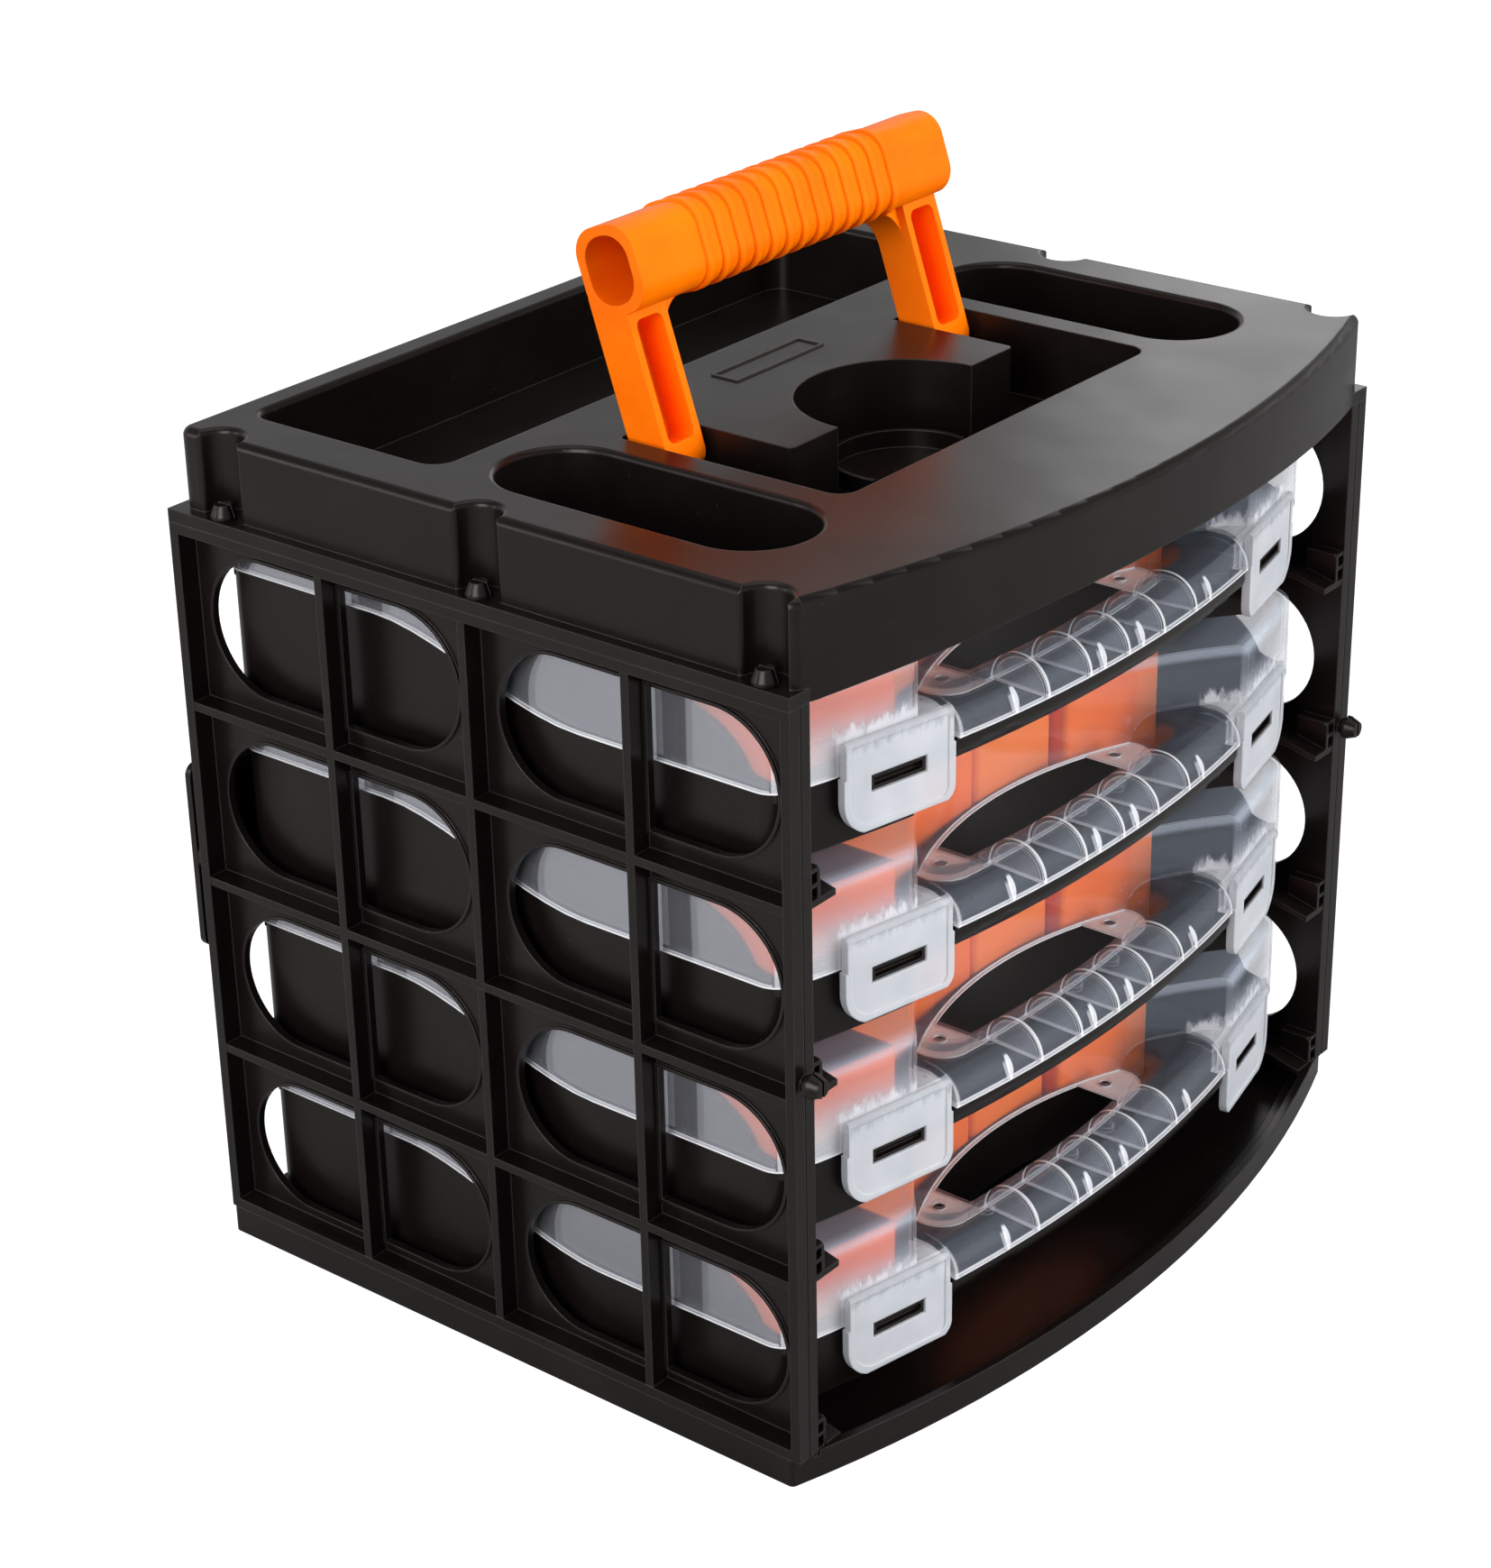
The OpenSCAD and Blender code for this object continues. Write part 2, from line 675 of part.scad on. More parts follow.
module top_cover() color([0.07, 0.07, 0.075]) {
    back = cover_back;
    apex = -rack_d / 2 - front_bow;
    w = cover_wall;
    arch_hw = cover_hw - cover_corner - rim_round;
    arch_r = (pow(arch_hw, 2) + pow(arch_rise, 2)) / (2 * arch_rise);
    boss_r = axle_r + 2.4;
    difference() {
        union() {
            // Skirt and top
            difference() {
                pillow(cover_hw, back, apex, bow_r, cover_corner, panel_top, cover_top, cover_round);
                difference() {
                    slab(panel_top - cut, cover_top - w) cover_outline(w);
                    both_sides() for (y = stud_ys) translate([stud_xs, y, panel_top - cut])
                        cylinder(h = cover_h + cut, r = groove_r + w);
                }
            }
            // Flange on the panels
            slab(panel_top, panel_top + flange_t) difference() {
                translate([-rack_w / 2, -rack_d / 2]) square([rack_w, rack_d]);
                rounded(w - panel_in, panel_in - w, -far, back - w, rim_round);
            }
            // Tubs under the pockets and the well
            slab(cover_top - pocket_depth - w, cover_top - w / 2) rounded(
                -rear_pocket_hw - w, rear_pocket_hw + w, rear_pocket_y - w, rear_pocket_back + w,
                pocket_corner + w);
            both_sides() side_tub(-pocket_depth - w);
            slab(cover_top - well_depth - w, cover_top - w / 2) well_outline(w);
            // Bosses round the handle's axles
            both_sides() translate([well_hw + w / 2, pivot_y, pivot_z]) rotate([0, 90, 0])
                cylinder(h = axle_l, r = boss_r);
        }
        pocket(-rear_pocket_hw, rear_pocket_hw, rear_pocket_y, rear_pocket_back,
            pocket_corner, cover_top, pocket_depth, rim_round);
        both_sides() side_pocket();
        slab(cover_top - well_depth, cover_top + cut) well_outline(0);
        grooves();
        // Arched lower edge of the front
        intersection() {
            translate([0, apex - cut, panel_top + arch_rise - arch_r]) rotate([-90, 0, 0])
                cylinder(h = -rack_d / 2 - apex, r = arch_r, $fn = 4 * bow_fn);
            translate([-arch_hw, apex - cut, panel_top - cut])
                cube([2 * arch_hw, far, arch_rise + 2 * cut]);
        }
        both_sides() for (y = stud_ys) translate([stud_xs, y, panel_top - cut])
            cylinder(h = flange_t + 2 * cut, r = stud_r + stud_gap);
        both_sides() translate([well_hw - cut, pivot_y, pivot_z]) rotate([0, 90, 0])
            cylinder(h = cut + axle_l - well_side_gap + 2 * slide_gap, r = axle_r + axle_gap);
        // The front of the top keeps clear of the panels' front corners
        translate([-rack_w, apex - far, panel_top - far]) cube([2 * rack_w, far, far]);
    }
    well_marks();
    tongue_frame();
}

// Open ring and gate bump on the well's floor, clear of the folded grip
module well_marks() {
    w = cover_wall;
    ring_t = 1.6;
    gate_r = 4;
    opening_y = -5;
    translate([0, tongue_y, cover_top - well_depth - w / 2]) {
        difference() {
            cylinder(h = w / 2 + ring_rib_h, r = ring_rib_r, $fn = 2 * $fn);
            translate([0, 0, -cut]) cylinder(h = far, r = ring_rib_r - ring_t, $fn = 2 * $fn);
            translate([-far, opening_y - far, -cut]) cube([2 * far, far, far]);
        }
        cylinder(h = w, r = gate_r);
    }
}

// Raised blank frame on the tongue
module tongue_frame() {
    frame_l = 46;
    frame_w = 11;
    frame_x = 2;
    frame_y = 9.5;
    line_w = 1;
    frame_h = 0.5;
    slab(cover_top - cut, cover_top + frame_h) translate([frame_x, frame_y]) difference() {
        square([frame_l, frame_w], center = true);
        square([frame_l - 2 * line_w, frame_w - 2 * line_w], center = true);
    }
}

// Carrying handle, drawn upright at its pivot with its front towards -Y
module leg_profile(inset, top) {
    r = leg_d / 2 - inset;
    circle(r);
    translate([-r, 0]) square([2 * r, top]);
}

module grip_profile(grow) {
    y = -leg_d / 2;
    rounded(y - grow, y + grip_d + grow, grip_top - grip_h - grow, grip_top + grow, grip_corner);
}

module upright_handle() {
    hw = handle_w / 2;
    front = leg_d / 2;
    grip_low = grip_top - grip_h;
    rings_hw = (ring_count - 1) * ring_pitch / 2;
    ring_w = 2.6;
    overlap = 2;
    difference() {
        union() {
            both_sides() {
                across(hw - leg_w, hw) mirror([1, 0]) leg_profile(0, grip_low + leg_d / 2);
                // Web that blends the leg into the grip
                translate([hw - leg_w - leg_fillet, front, grip_low - leg_fillet]) rotate([90, 0, 0])
                    linear_extrude(leg_d - leg_wall) difference() {
                        square(leg_fillet + overlap);
                        circle(leg_fillet);
                    }
                translate([hw - cut, 0, 0]) rotate([0, 90, 0]) cylinder(h = axle_l + cut, r = axle_r);
            }
            across(-hw, hw) mirror([1, 0]) grip_profile(0);
            for (n = [0 : ring_count - 1]) translate([n * ring_pitch - rings_hw, 0, 0])
                across(-ring_w / 2, ring_w / 2) mirror([1, 0]) grip_profile(ring_h);
        }
        // Oval bore of the grip
        across(-hw - cut, hw + cut) mirror([1, 0]) rounded(
            grip_wall - leg_d / 2, grip_d - leg_d / 2 - grip_wall,
            grip_low + grip_wall, grip_top - grip_wall, grip_corner - cut);
        // Channels that open the legs to the front
        both_sides() translate([hw - leg_w + leg_wall, -front - cut, 0]) {
            rotate([90, 0, 0]) translate([0, 0, -leg_d + leg_wall]) linear_extrude(far)
                rounded(0, leg_w - 2 * leg_wall, axle_r, grip_low - leg_wall, leg_wall);
        }
    }
}

module carry_handle() color([1, 0.5, 0.05])
    translate([0, pivot_y, pivot_z]) rotate([-handle_lean, 0, 0]) upright_handle();

// Cases
// Height of the joint between lid and tray, which steps up in a smooth S along Y
split_y0 = -34;
split_y1 = 50;
split_steps = 10;
function s_rise(t) = t * t * (3 - 2 * t);
split_curve = [for (i = [0 : split_steps]) [
    split_y0 + (split_y1 - split_y0) * i / split_steps,
    split_front + (split_rear - split_front) * s_rise(i / split_steps)]];

// Everything above that joint
module above_split(gap) {
    across(-far, far) translate([0, -gap]) polygon(concat(
        [[-far, far], [-far, split_front]], split_curve, [[far, split_rear], [far, far]]));
}

module case_outline(inset) {
    bowed(lid_hw - inset, case_back - inset, case_apex + inset, bow_r - inset, case_corner - inset);
}

module scoop(grow) {
    translate([0, scoop_cy]) circle(scoop_r + grow, $fn = 180);
}

module band(x0, x1) {
    for (s = [-1, 1]) translate([s > 0 ? x0 : -x1, -far]) square([x1 - x0, 2 * far]);
}

// A sweep of a profile along the bow from x0 to x1, measured along the bar's front
module along_bow(x0, x1) {
    turn0 = asin(x0 / bar_front_r);
    turn1 = asin(x1 / bar_front_r);
    translate([0, bow_y, 0]) rotate([0, 0, 270 + turn0])
        rotate_extrude(angle = turn1 - turn0, $fn = bow_fn) children();
}

// Middle of the fillet between the bar and a root
module at_root_fillet() {
    x = bar_root_x - root_fillet;
    y = bow_y - sqrt(pow(bar_rear_r - root_fillet, 2) - pow(x, 2));
    both_sides() translate([x, y, 0]) children();
}

module bar_top_profile(inset) {
    r = bar_top_corner - inset;
    low = split_front - cut - inset;
    top = split_front + bar_up - inset;
    x0 = bar_rear_r + inset;
    x1 = bar_front_r - inset;
    translate([x0, low]) square([x1 - x0, top - low - r]);
    translate([x0 + r, low]) square([x1 - x0 - 2 * r, top - low]);
    for (x = [x0 + r, x1 - r]) translate([x, top - r]) circle(r);
}

// The bar's upper half run on to the back, for the roots
module root_profile(inset) {
    r = bar_top_corner - inset;
    low = split_front - cut - inset;
    top = split_front + bar_up - root_step - inset;
    x0 = bar_rear_r - bar_d;
    x1 = bar_front_r - inset;
    translate([x0, low]) square([x1 - x0, top - low - r]);
    translate([x0, low]) square([x1 - x0 - r, top - low]);
    translate([x1 - r, top - r]) circle(r);
}

module bar_low_profile(inset) {
    r = bar_low_corner - inset;
    low = split_front - bar_down + inset;
    x0 = bar_rear_r + tray_step + inset;
    x1 = bar_front_r - tray_step - inset;
    top = split_front + cut + inset;
    translate([x0, low + r]) square([x1 - x0, top - low - r]);
    translate([x0 + r, low]) square([x1 - x0 - 2 * r, top - low]);
    for (x = [x0 + r, x1 - r]) translate([x, low + r]) circle(r);
}

// Region between the bow and the scoop where the bar's roots stand, rounded like the bar
// towards the finger opening
module lid_root(inset) {
    top = split_front + bar_up - root_step - inset;
    intersection() {
        both_sides() along_bow(bar_root_x - root_fillet + inset, root_end_x - inset) root_profile(inset);
        slab(0, lid_top) intersection() {
            case_outline(inset + seam_step);
            scoop(lid_wall + inset);
        }
        difference() {
            slab(0, lid_top) square(2 * far, center = true);
            at_root_fillet() translate([0, 0, top]) rotate_extrude()
                rim_profile(root_fillet + inset, lid_top, bar_top_corner - inset);
        }
    }
}

// Places children at one of the two clips, +X along the clip and -Y to the front
module at_clip(side) {
    translate([side * clip_x, clip_face_y, 0]) rotate([0, 0, side * clip_turn]) children();
}

// Everything here reaches below the joint, where the lid is cut off in one go
module lid_shell() {
    w = lid_wall;
    low = split_front - cut;
    tab_t = 1.8;
    tab_d = 20;
    tab_hole_r = 2.2;
    hole_x = opening_hw + 7;
    hole_y = scoop_cy + sqrt(pow(scoop_r, 2) - pow(hole_x, 2)) - 2 * tab_hole_r;
    difference() {
        union() {
            // Domed part behind the scoop
            difference() {
                pillow(lid_hw, case_back, case_apex, bow_r, case_corner, low, lid_top, lid_round);
                slab(0, lid_top + cut) scoop(0);
            }
            along_bow(-bar_end_x, bar_end_x) bar_top_profile(0);
            lid_root(0);
            // Tabs beside the finger opening
            slab(low, split_front + tab_t) intersection() {
                scoop(w / 2);
                band(opening_hw, bar_root_x + tab_t);
                translate([0, bow_y]) difference() {
                    circle(bow_r, $fn = bow_fn);
                    circle(bar_rear_r - tab_d, $fn = bow_fn);
                }
            }
        }
        // Hollow of the domed part
        difference() {
            pillow(lid_hw - w, case_back - w, case_apex + w, bow_r - w, case_corner - w,
                low - cut, lid_top - w, lid_round - w);
            slab(0, lid_top) scoop(w);
        }
        bar_hollow();
        lid_root(w);
        // Hang holes in the tabs
        both_sides() translate([hole_x, hole_y, 0]) cylinder(h = lid_top, r = tab_hole_r);
    }
}

// Hollow of the bar's upper half, which leaves thin webs across it
module bar_hollow() {
    w = lid_wall;
    pitch_turn = asin(bar_web_pitch / bar_front_r);
    web_turn = asin(bar_web_t / bar_front_r);
    difference() {
        intersection() {
            along_bow(w - bar_end_x, bar_end_x - w) bar_top_profile(w);
            slab(0, lid_top) scoop(w + seam_lap);
        }
        for (n = [-2 : 2]) translate([0, bow_y, 0]) rotate([0, 0, 270 + n * pitch_turn - web_turn / 2])
            rotate_extrude(angle = web_turn, $fn = bow_fn)
                translate([bar_rear_r, 0]) square([bar_d, lid_top]);
    }
}

module lid() {
    intersection() {
        lid_shell();
        above_split(0);
    }
}

module tray_outline(inset) {
    case_outline(tray_step + inset);
}

module tray_root_outline(inset) {
    difference() {
        intersection() {
            tray_outline(inset + seam_step);
            scoop(tray_step + tray_wall + inset);
            band(bar_root_x - root_fillet + inset, lid_hw);
        }
        at_root_fillet() circle(root_fillet + tray_step + inset);
    }
}

module tray() {
    w = tray_wall;
    divider_t = 1.2;
    divider_top = split_front - 4;
    skid_start = 22;
    front_row_y = rear_row_y() - cross_w;
    left_end = bin_columns[1][0] - divider_t - bin_gap;
    right_end = bin_columns[4][0] + wide_bin_w + bin_gap;
    difference() {
        union() {
            difference() {
                slab(tray_lift, lid_top) tray_outline(0);
                slab(0, lid_top + cut) scoop(tray_step);
            }
            // Skids under both sides
            slab(skid_z, floor_top) intersection() {
                tray_outline(0);
                band(lid_hw - tray_step - skid_w, lid_hw);
                translate([-far, case_apex + skid_start]) square([2 * far, far]);
            }
            along_bow(-bar_end_x, bar_end_x) bar_low_profile(0);
            slab(split_front - bar_down + root_step, split_front) tray_root_outline(0);
        }
        difference() {
            slab(floor_top, lid_top + cut) tray_outline(w);
            slab(0, lid_top) scoop(tray_step + w);
            // Dividers of the fixed compartments
            for (y = [rear_row_y() - divider_t - bin_gap, front_row_y + bin_gap])
                translate([-far, y, 0]) cube([2 * far, divider_t, divider_top]);
            for (x = [left_end, right_end])
                translate([x, -far, 0]) cube([divider_t, far + front_row_y + divider_t, divider_top]);
        }
        intersection() {
            along_bow(w - bar_end_x, bar_end_x - w) bar_low_profile(w);
            slab(0, lid_top) scoop(tray_step + w + seam_lap);
        }
        slab(split_front - bar_down + root_step + w, split_front + cut) tray_root_outline(w);
        translate([0, 0, -tray_gap]) above_split(0);
    }
    // Catches that the clips close over
    catch_play = 0.5;
    catch_wall = 0.9;
    catch_depth = 2.2;
    catch_y = catch_play - slide_gap - clip_t;
    catch_l = slot_w - 2 * catch_play;
    catch_h = slot_h - 2 * catch_play;
    for (side = [-1, 1]) at_clip(side)
        translate([-catch_l / 2, catch_y, clip_pivot_z - slot_drop - catch_h / 2]) difference() {
            cube([catch_l, tray_step + w / 2 - catch_y, catch_h]);
            translate([catch_wall, -cut, catch_wall])
                cube([catch_l - 2 * catch_wall, catch_depth + cut, catch_h - 2 * catch_wall]);
        }
}

// Clips
// Outline of a clip's plate seen from the front, with its outer side towards +X
module clip_outline(inset) {
    half = clip_w / 2 - inset;
    low = inset - clip_drop;
    for (c = [[1, clip_corner - inset], [-1, clip_inner_corner - inset]]) {
        translate([c[0] * (half - c[1]), low + c[1]]) circle(c[1]);
        translate([c[0] > 0 ? 0 : -half, low + c[1]]) square([half, -low - c[1]]);
        translate([c[0] > 0 ? 0 : c[1] - half, low]) square([half - c[1], -low]);
    }
}

// A clip hangs from a bead that lies along the lid's face
module clip(side) color([0.9, 0.92, 0.94, 0.75])
    at_clip(side) mirror([side < 0 ? 1 : 0, 0, 0]) translate([0, -slide_gap, clip_pivot_z]) {
        rim_t = clip_t + clip_rim_h;
        flare_top = split_front - clip_pivot_z;
        rotate([90, 0, 0]) difference() {
            union() {
                linear_extrude(clip_t) clip_outline(0);
                linear_extrude(rim_t) difference() {
                    clip_outline(0);
                    clip_outline(clip_rim_w);
                }
                // Lower part, where the clip is wider for the finger
                linear_extrude(rim_t) intersection() {
                    difference() {
                        clip_outline(-clip_flare);
                        clip_outline(clip_rim_w);
                    }
                    polygon([
                        [-clip_w, flare_top - clip_flare], [-clip_w / 2, flare_top],
                        [clip_w / 2, flare_top], [clip_w, flare_top - clip_flare],
                        [clip_w, -clip_drop], [-clip_w, -clip_drop]]);
                }
            }
            translate([-slot_w / 2, -slot_drop - slot_h / 2, -cut]) cube([slot_w, slot_h, rim_t + 2 * cut]);
        }
        translate([-clip_w / 2, -bead_r, 0]) rotate([0, 90, 0]) cylinder(h = clip_w, r = bead_r);
    }

// Bins
function column_x(i) = bin_left + i * bin_pitch;
bin_columns = [for (i = [0 : bin_columns_n - 1])
    [column_x(i), column_x(i) + (i < bin_columns_n - 1 ? bin_pitch : wide_bin_w)]];
bin_back_gap = 3.8;
function rear_row_y() = case_back - tray_step - tray_wall - bin_back_gap - 2 * bin_row_pitch;

module bin(x0, x1, y0, y1) {
    g = bin_gap / 2;
    r = 3;
    h = g + bin_wall;
    z0 = floor_top + tray_gap;
    difference() {
        slab(z0, bin_top) rounded(x0 + g, x1 - g, y0 + g, y1 - g, r);
        slab(z0 + bin_wall, bin_top + cut) rounded(x0 + h, x1 - h, y0 + h, y1 - h, r - bin_wall);
    }
}

// Front edge of a bin that follows the scoop's wall, from its corner nearest the middle
function bin_front(x0, x1) = let(x = x0 < 0 && x1 > 0 ? 0 : min(abs(x0), abs(x1)))
    scoop_cy + sqrt(pow(scoop_r + tray_step + tray_wall, 2) - x * x) + 1.5 * bin_gap;

module front_bins() color([1, 0.45, 0.1]) {
    back = rear_row_y() - cross_w;
    for (i = [1 : 4]) {
        x0 = bin_columns[i][0];
        x1 = i < 4 ? bin_columns[i][1] : x0 + wide_bin_w;
        bin(x0, x1, bin_front(x0, x1), back);
    }
}

module rear_bins() color([1, 0.45, 0.1]) {
    for (c = bin_columns, n = [0, 1])
        bin(c[0], c[1], rear_row_y() + n * bin_row_pitch, rear_row_y() + (n + 1) * bin_row_pitch);
}

module case_part(part) {
    if (part == "tray") color([0.07, 0.07, 0.075]) tray();
    if (part == "lid") color([0.75, 0.8, 0.88, 0.4]) lid();
    if (part == "left_clip") clip(-1);
    if (part == "right_clip") clip(1);
    if (part == "front_bins") front_bins();
    if (part == "rear_bins") rear_bins();
}

base();
left_panel();
right_panel();
rear_brace();
top_cover();
carry_handle();
for (n = [1 : rows], part = case_parts)
    translate([0, 0, row_z(n - 1)]) case_part(part);
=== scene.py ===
"""Looks of the drawer organizer box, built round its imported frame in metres."""

import logging
from dataclasses import dataclass, field
from enum import Enum
from math import asin, cos, pi, sin
from typing import Any, NamedTuple, Optional, Sequence, Union

import bmesh
import bpy
from mathutils import Matrix, Vector


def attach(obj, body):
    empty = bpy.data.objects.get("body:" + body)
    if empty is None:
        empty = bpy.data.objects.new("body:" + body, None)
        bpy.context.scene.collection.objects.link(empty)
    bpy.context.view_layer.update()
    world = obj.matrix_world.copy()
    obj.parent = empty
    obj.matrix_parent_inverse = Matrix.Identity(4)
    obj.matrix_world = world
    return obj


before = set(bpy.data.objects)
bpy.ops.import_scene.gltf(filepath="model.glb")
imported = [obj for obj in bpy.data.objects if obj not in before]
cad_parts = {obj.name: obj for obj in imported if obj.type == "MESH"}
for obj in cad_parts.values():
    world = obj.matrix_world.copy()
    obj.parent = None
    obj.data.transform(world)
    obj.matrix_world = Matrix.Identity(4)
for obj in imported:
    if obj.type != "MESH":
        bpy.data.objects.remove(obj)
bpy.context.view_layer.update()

log = logging.getLogger("organizer")
Number = Union[int, float]
Colour = tuple[float, float, float]
Point = tuple[float, float, float]
# Where a mask is 0 and where it is 1, or the two ends of something else
Span = tuple[float, float]
# Height of a bump in metres and its strength
Relief = tuple[float, float]
# Names of masks with the weight of each
Shares = tuple[tuple[str, float], ...]
MM = 0.001


def shade(colour: Colour) -> tuple[float, float, float, float]:
    """Gives a colour its full alpha, as the sockets want it."""
    return (*colour, 1.0)


class Link:
    """An output socket that adds Math nodes when it is used in an expression."""

    def __init__(self, recipe: "Recipe", socket: bpy.types.NodeSocket) -> None:
        """Keeps the socket and the recipe that it belongs to."""
        self.recipe = recipe
        self.socket = socket

    def maths(self, operation: str, *values: Union["Link", Number]) -> "Link":
        """Adds one Math node.

        Args:
            operation: Blender's name of the operation.
            values: The node's inputs in order.

        Returns:
            The node's output.
        """
        return self.recipe.node("ShaderNodeMath", {"operation": operation}, dict(enumerate(values)))

    def __add__(self, other: Union["Link", Number]) -> "Link":
        """Adds a value."""
        return self.maths("ADD", self, other)

    def __radd__(self, other: Number) -> "Link":
        """Adds to a number."""
        return self.maths("ADD", other, self)

    def __sub__(self, other: Union["Link", Number]) -> "Link":
        """Subtracts a value."""
        return self.maths("SUBTRACT", self, other)

    def __rsub__(self, other: Number) -> "Link":
        """Subtracts from a number."""
        return self.maths("SUBTRACT", other, self)

    def __mul__(self, other: Union["Link", Number]) -> "Link":
        """Multiplies by a value."""
        return self.maths("MULTIPLY", self, other)

    def __rmul__(self, other: Number) -> "Link":
        """Multiplies a number."""
        return self.maths("MULTIPLY", other, self)

    def __truediv__(self, other: Union["Link", Number]) -> "Link":
        """Divides by a value."""
        return self.maths("DIVIDE", self, other)

    def __mod__(self, other: Number) -> "Link":
        """Leaves the rest of a division."""
        return self.maths("FLOORED_MODULO", self, other)

    def __pow__(self, other: Number) -> "Link":
        """Raises to a power."""
        return self.maths("POWER", self, other)

    def __abs__(self) -> "Link":
        """Drops the sign."""
        return self.maths("ABSOLUTE", self)

    def most(self, other: Union["Link", Number]) -> "Link":
        """Takes the larger of two values."""
        return self.maths("MAXIMUM", self, other)

    def least(self, other: Union["Link", Number]) -> "Link":
        """Takes the smaller of two values."""
        return self.maths("MINIMUM", self, other)

    def between(self, low: float, high: float) -> "Link":
        """Turns a range of this value into a smooth mask.

        Args:
            low: The value at which the mask is 0.
            high: The value at which the mask is 1.

        Returns:
            The mask.
        """
        return self.recipe.node(
            "ShaderNodeMapRange",
            {"interpolation_type": "SMOOTHSTEP"},
            {"Value": self, "From Min": low, "From Max": high},
        )

    def near(self, place: Union["Link", Number], reach: float, soft: float) -> "Link":
        """Marks the values close to a place.

        Args:
            place: The middle of the mark.
            reach: Half its width.
            soft: Width of its faded edge.

        Returns:
            A mask of 1 at the place.
        """
        return abs(self - place).between(reach + soft, reach)


def strongest(masks: Sequence[Link]) -> Link:
    """Joins masks, so that the strongest one counts at each spot."""
    joined = masks[0]
    for mask in masks[1:]:
        joined = joined.most(mask)
    return joined


@dataclass(frozen=True)
class Pattern:
    """A noise pattern: cells per metre, finer octaves, their strength and a factor on each axis."""

    scale: float
    detail: float = 2.0
    roughness: float = 0.5
    stretch: Point = (1.0, 1.0, 1.0)


class Recipe:
    """A node tree under construction, for a material or for the world."""

    bevel_samples: int = 4

    def __init__(self, owner: Union[bpy.types.Material, bpy.types.World], output: str) -> None:
        """Empties the owner's tree and adds its output.

        Args:
            owner: The material or world.
            output: Blender's name of the output node's type.
        """
        owner.use_nodes = True
        self.owner = owner
        self.tree = owner.node_tree
        self.tree.nodes.clear()
        self.output = self.tree.nodes.new(output)

    @classmethod
    def material(cls, name: str) -> "Recipe":
        """Starts a material."""
        return cls(bpy.data.materials.new(name), "ShaderNodeOutputMaterial")

    def node(
        self,
        kind: str,
        settings: Optional[dict[str, Any]] = None,
        inputs: Optional[dict[Union[int, str], Any]] = None,
        out: Union[int, str] = 0,
    ) -> Link:
        """Adds one node of any kind.

        Args:
            kind: Blender's name of the node's type.
            settings: Properties that are set first.
            inputs: Values or links by socket name or number.
            out: Which output is wanted.

        Returns:
            The wanted output.
        """
        made = self.tree.nodes.new(kind)
        for key, value in (settings or {}).items():
            setattr(made, key, value)
        for key, value in (inputs or {}).items():
            if isinstance(value, Link):
                self.tree.links.new(value.socket, made.inputs[key])
            else:
                made.inputs[key].default_value = value
        return Link(self, made.outputs[out])

    def parts(self, vector: Link) -> tuple[Link, Link, Link]:
        """Splits a vector into X, Y and Z."""
        outputs = self.node("ShaderNodeSeparateXYZ", inputs={0: vector}).socket.node.outputs
        return Link(self, outputs[0]), Link(self, outputs[1]), Link(self, outputs[2])

    def place(self) -> Link:
        """Gives the position on the piece in metres, which moves with the piece."""
        return self.node("ShaderNodeTexCoord", out="Object")

    def noise(self, pattern: Pattern) -> Link:
        """Adds a noise pattern, which goes from 0 to 1."""
        spot = self.node(
            "ShaderNodeVectorMath", {"operation": "MULTIPLY"}, {0: self.place(), 1: pattern.stretch}
        )
        return self.node("ShaderNodeTexNoise", inputs={
            "Vector": spot,
            "Scale": pattern.scale,
            "Detail": pattern.detail,
            "Roughness": pattern.roughness,
        })

    def bump(self, pattern: Link, relief: Relief, normal: Link) -> Link:
        """Adds a Bump node.

        Args:
            pattern: The pattern that is raised.
            relief: The pattern's height in metres and the bump's strength.
            normal: The normal that this bump lies on.

        Returns:
            The bent normal.
        """
        depth, strength = relief
        return self.node("ShaderNodeBump", inputs={
            "Height": pattern, "Distance": depth, "Strength": strength, "Normal": normal,
        })

    def rounded(self, radius: float) -> Link:
        """Gives a normal that rounds the piece's edges."""
        return self.node("ShaderNodeBevel", {"samples": self.bevel_samples}, {"Radius": radius})

    def edges(self, rounded: Link, bend: Span) -> Link:
        """Marks the piece's edges.

        Args:
            rounded: The normal that rounds them.
            bend: Bend of the normal at which the mask starts, and at which it is full.

        Returns:
            The mask.
        """
        true = self.node("ShaderNodeNewGeometry", out="True Normal")
        same = self.node("ShaderNodeVectorMath", {"operation": "DOT_PRODUCT"}, {0: rounded, 1: true}, out=1)
        return (1.0 - abs(same)).between(*bend)

    def mix(self, mask: Link, first: Union[Colour, Link], second: Colour) -> Link:
        """Mixes two colours.

        Args:
            mask: 0 for the first colour and 1 for the second.
            first: The first colour.
            second: The second colour.

        Returns:
            The mixed colour.
        """
        base = first if isinstance(first, Link) else shade(first)
        return self.node(
            "ShaderNodeMix", {"data_type": "RGBA"}, {0: mask, 6: base, 7: shade(second)}, out=2
        )

    def finish(self, shader: Link) -> Any:
        """Joins a shader to the output.

        Args:
            shader: The shader's output.

        Returns:
            The material or world.
        """
        self.tree.links.new(shader.socket, self.output.inputs["Surface"])
        return self.owner

    def surface(self, **sockets: Any) -> bpy.types.Material:
        """Adds the surface shader and joins it to the output.

        Args:
            sockets: The shader's inputs, with _ for a space.

        Returns:
            The finished material.
        """
        renamed = {"Specular": "Specular IOR Level"}
        inputs = {renamed.get(key, key.replace("_", " ")): value for key, value in sockets.items()}
        return self.finish(self.node("ShaderNodeBsdfPrincipled", inputs=inputs))


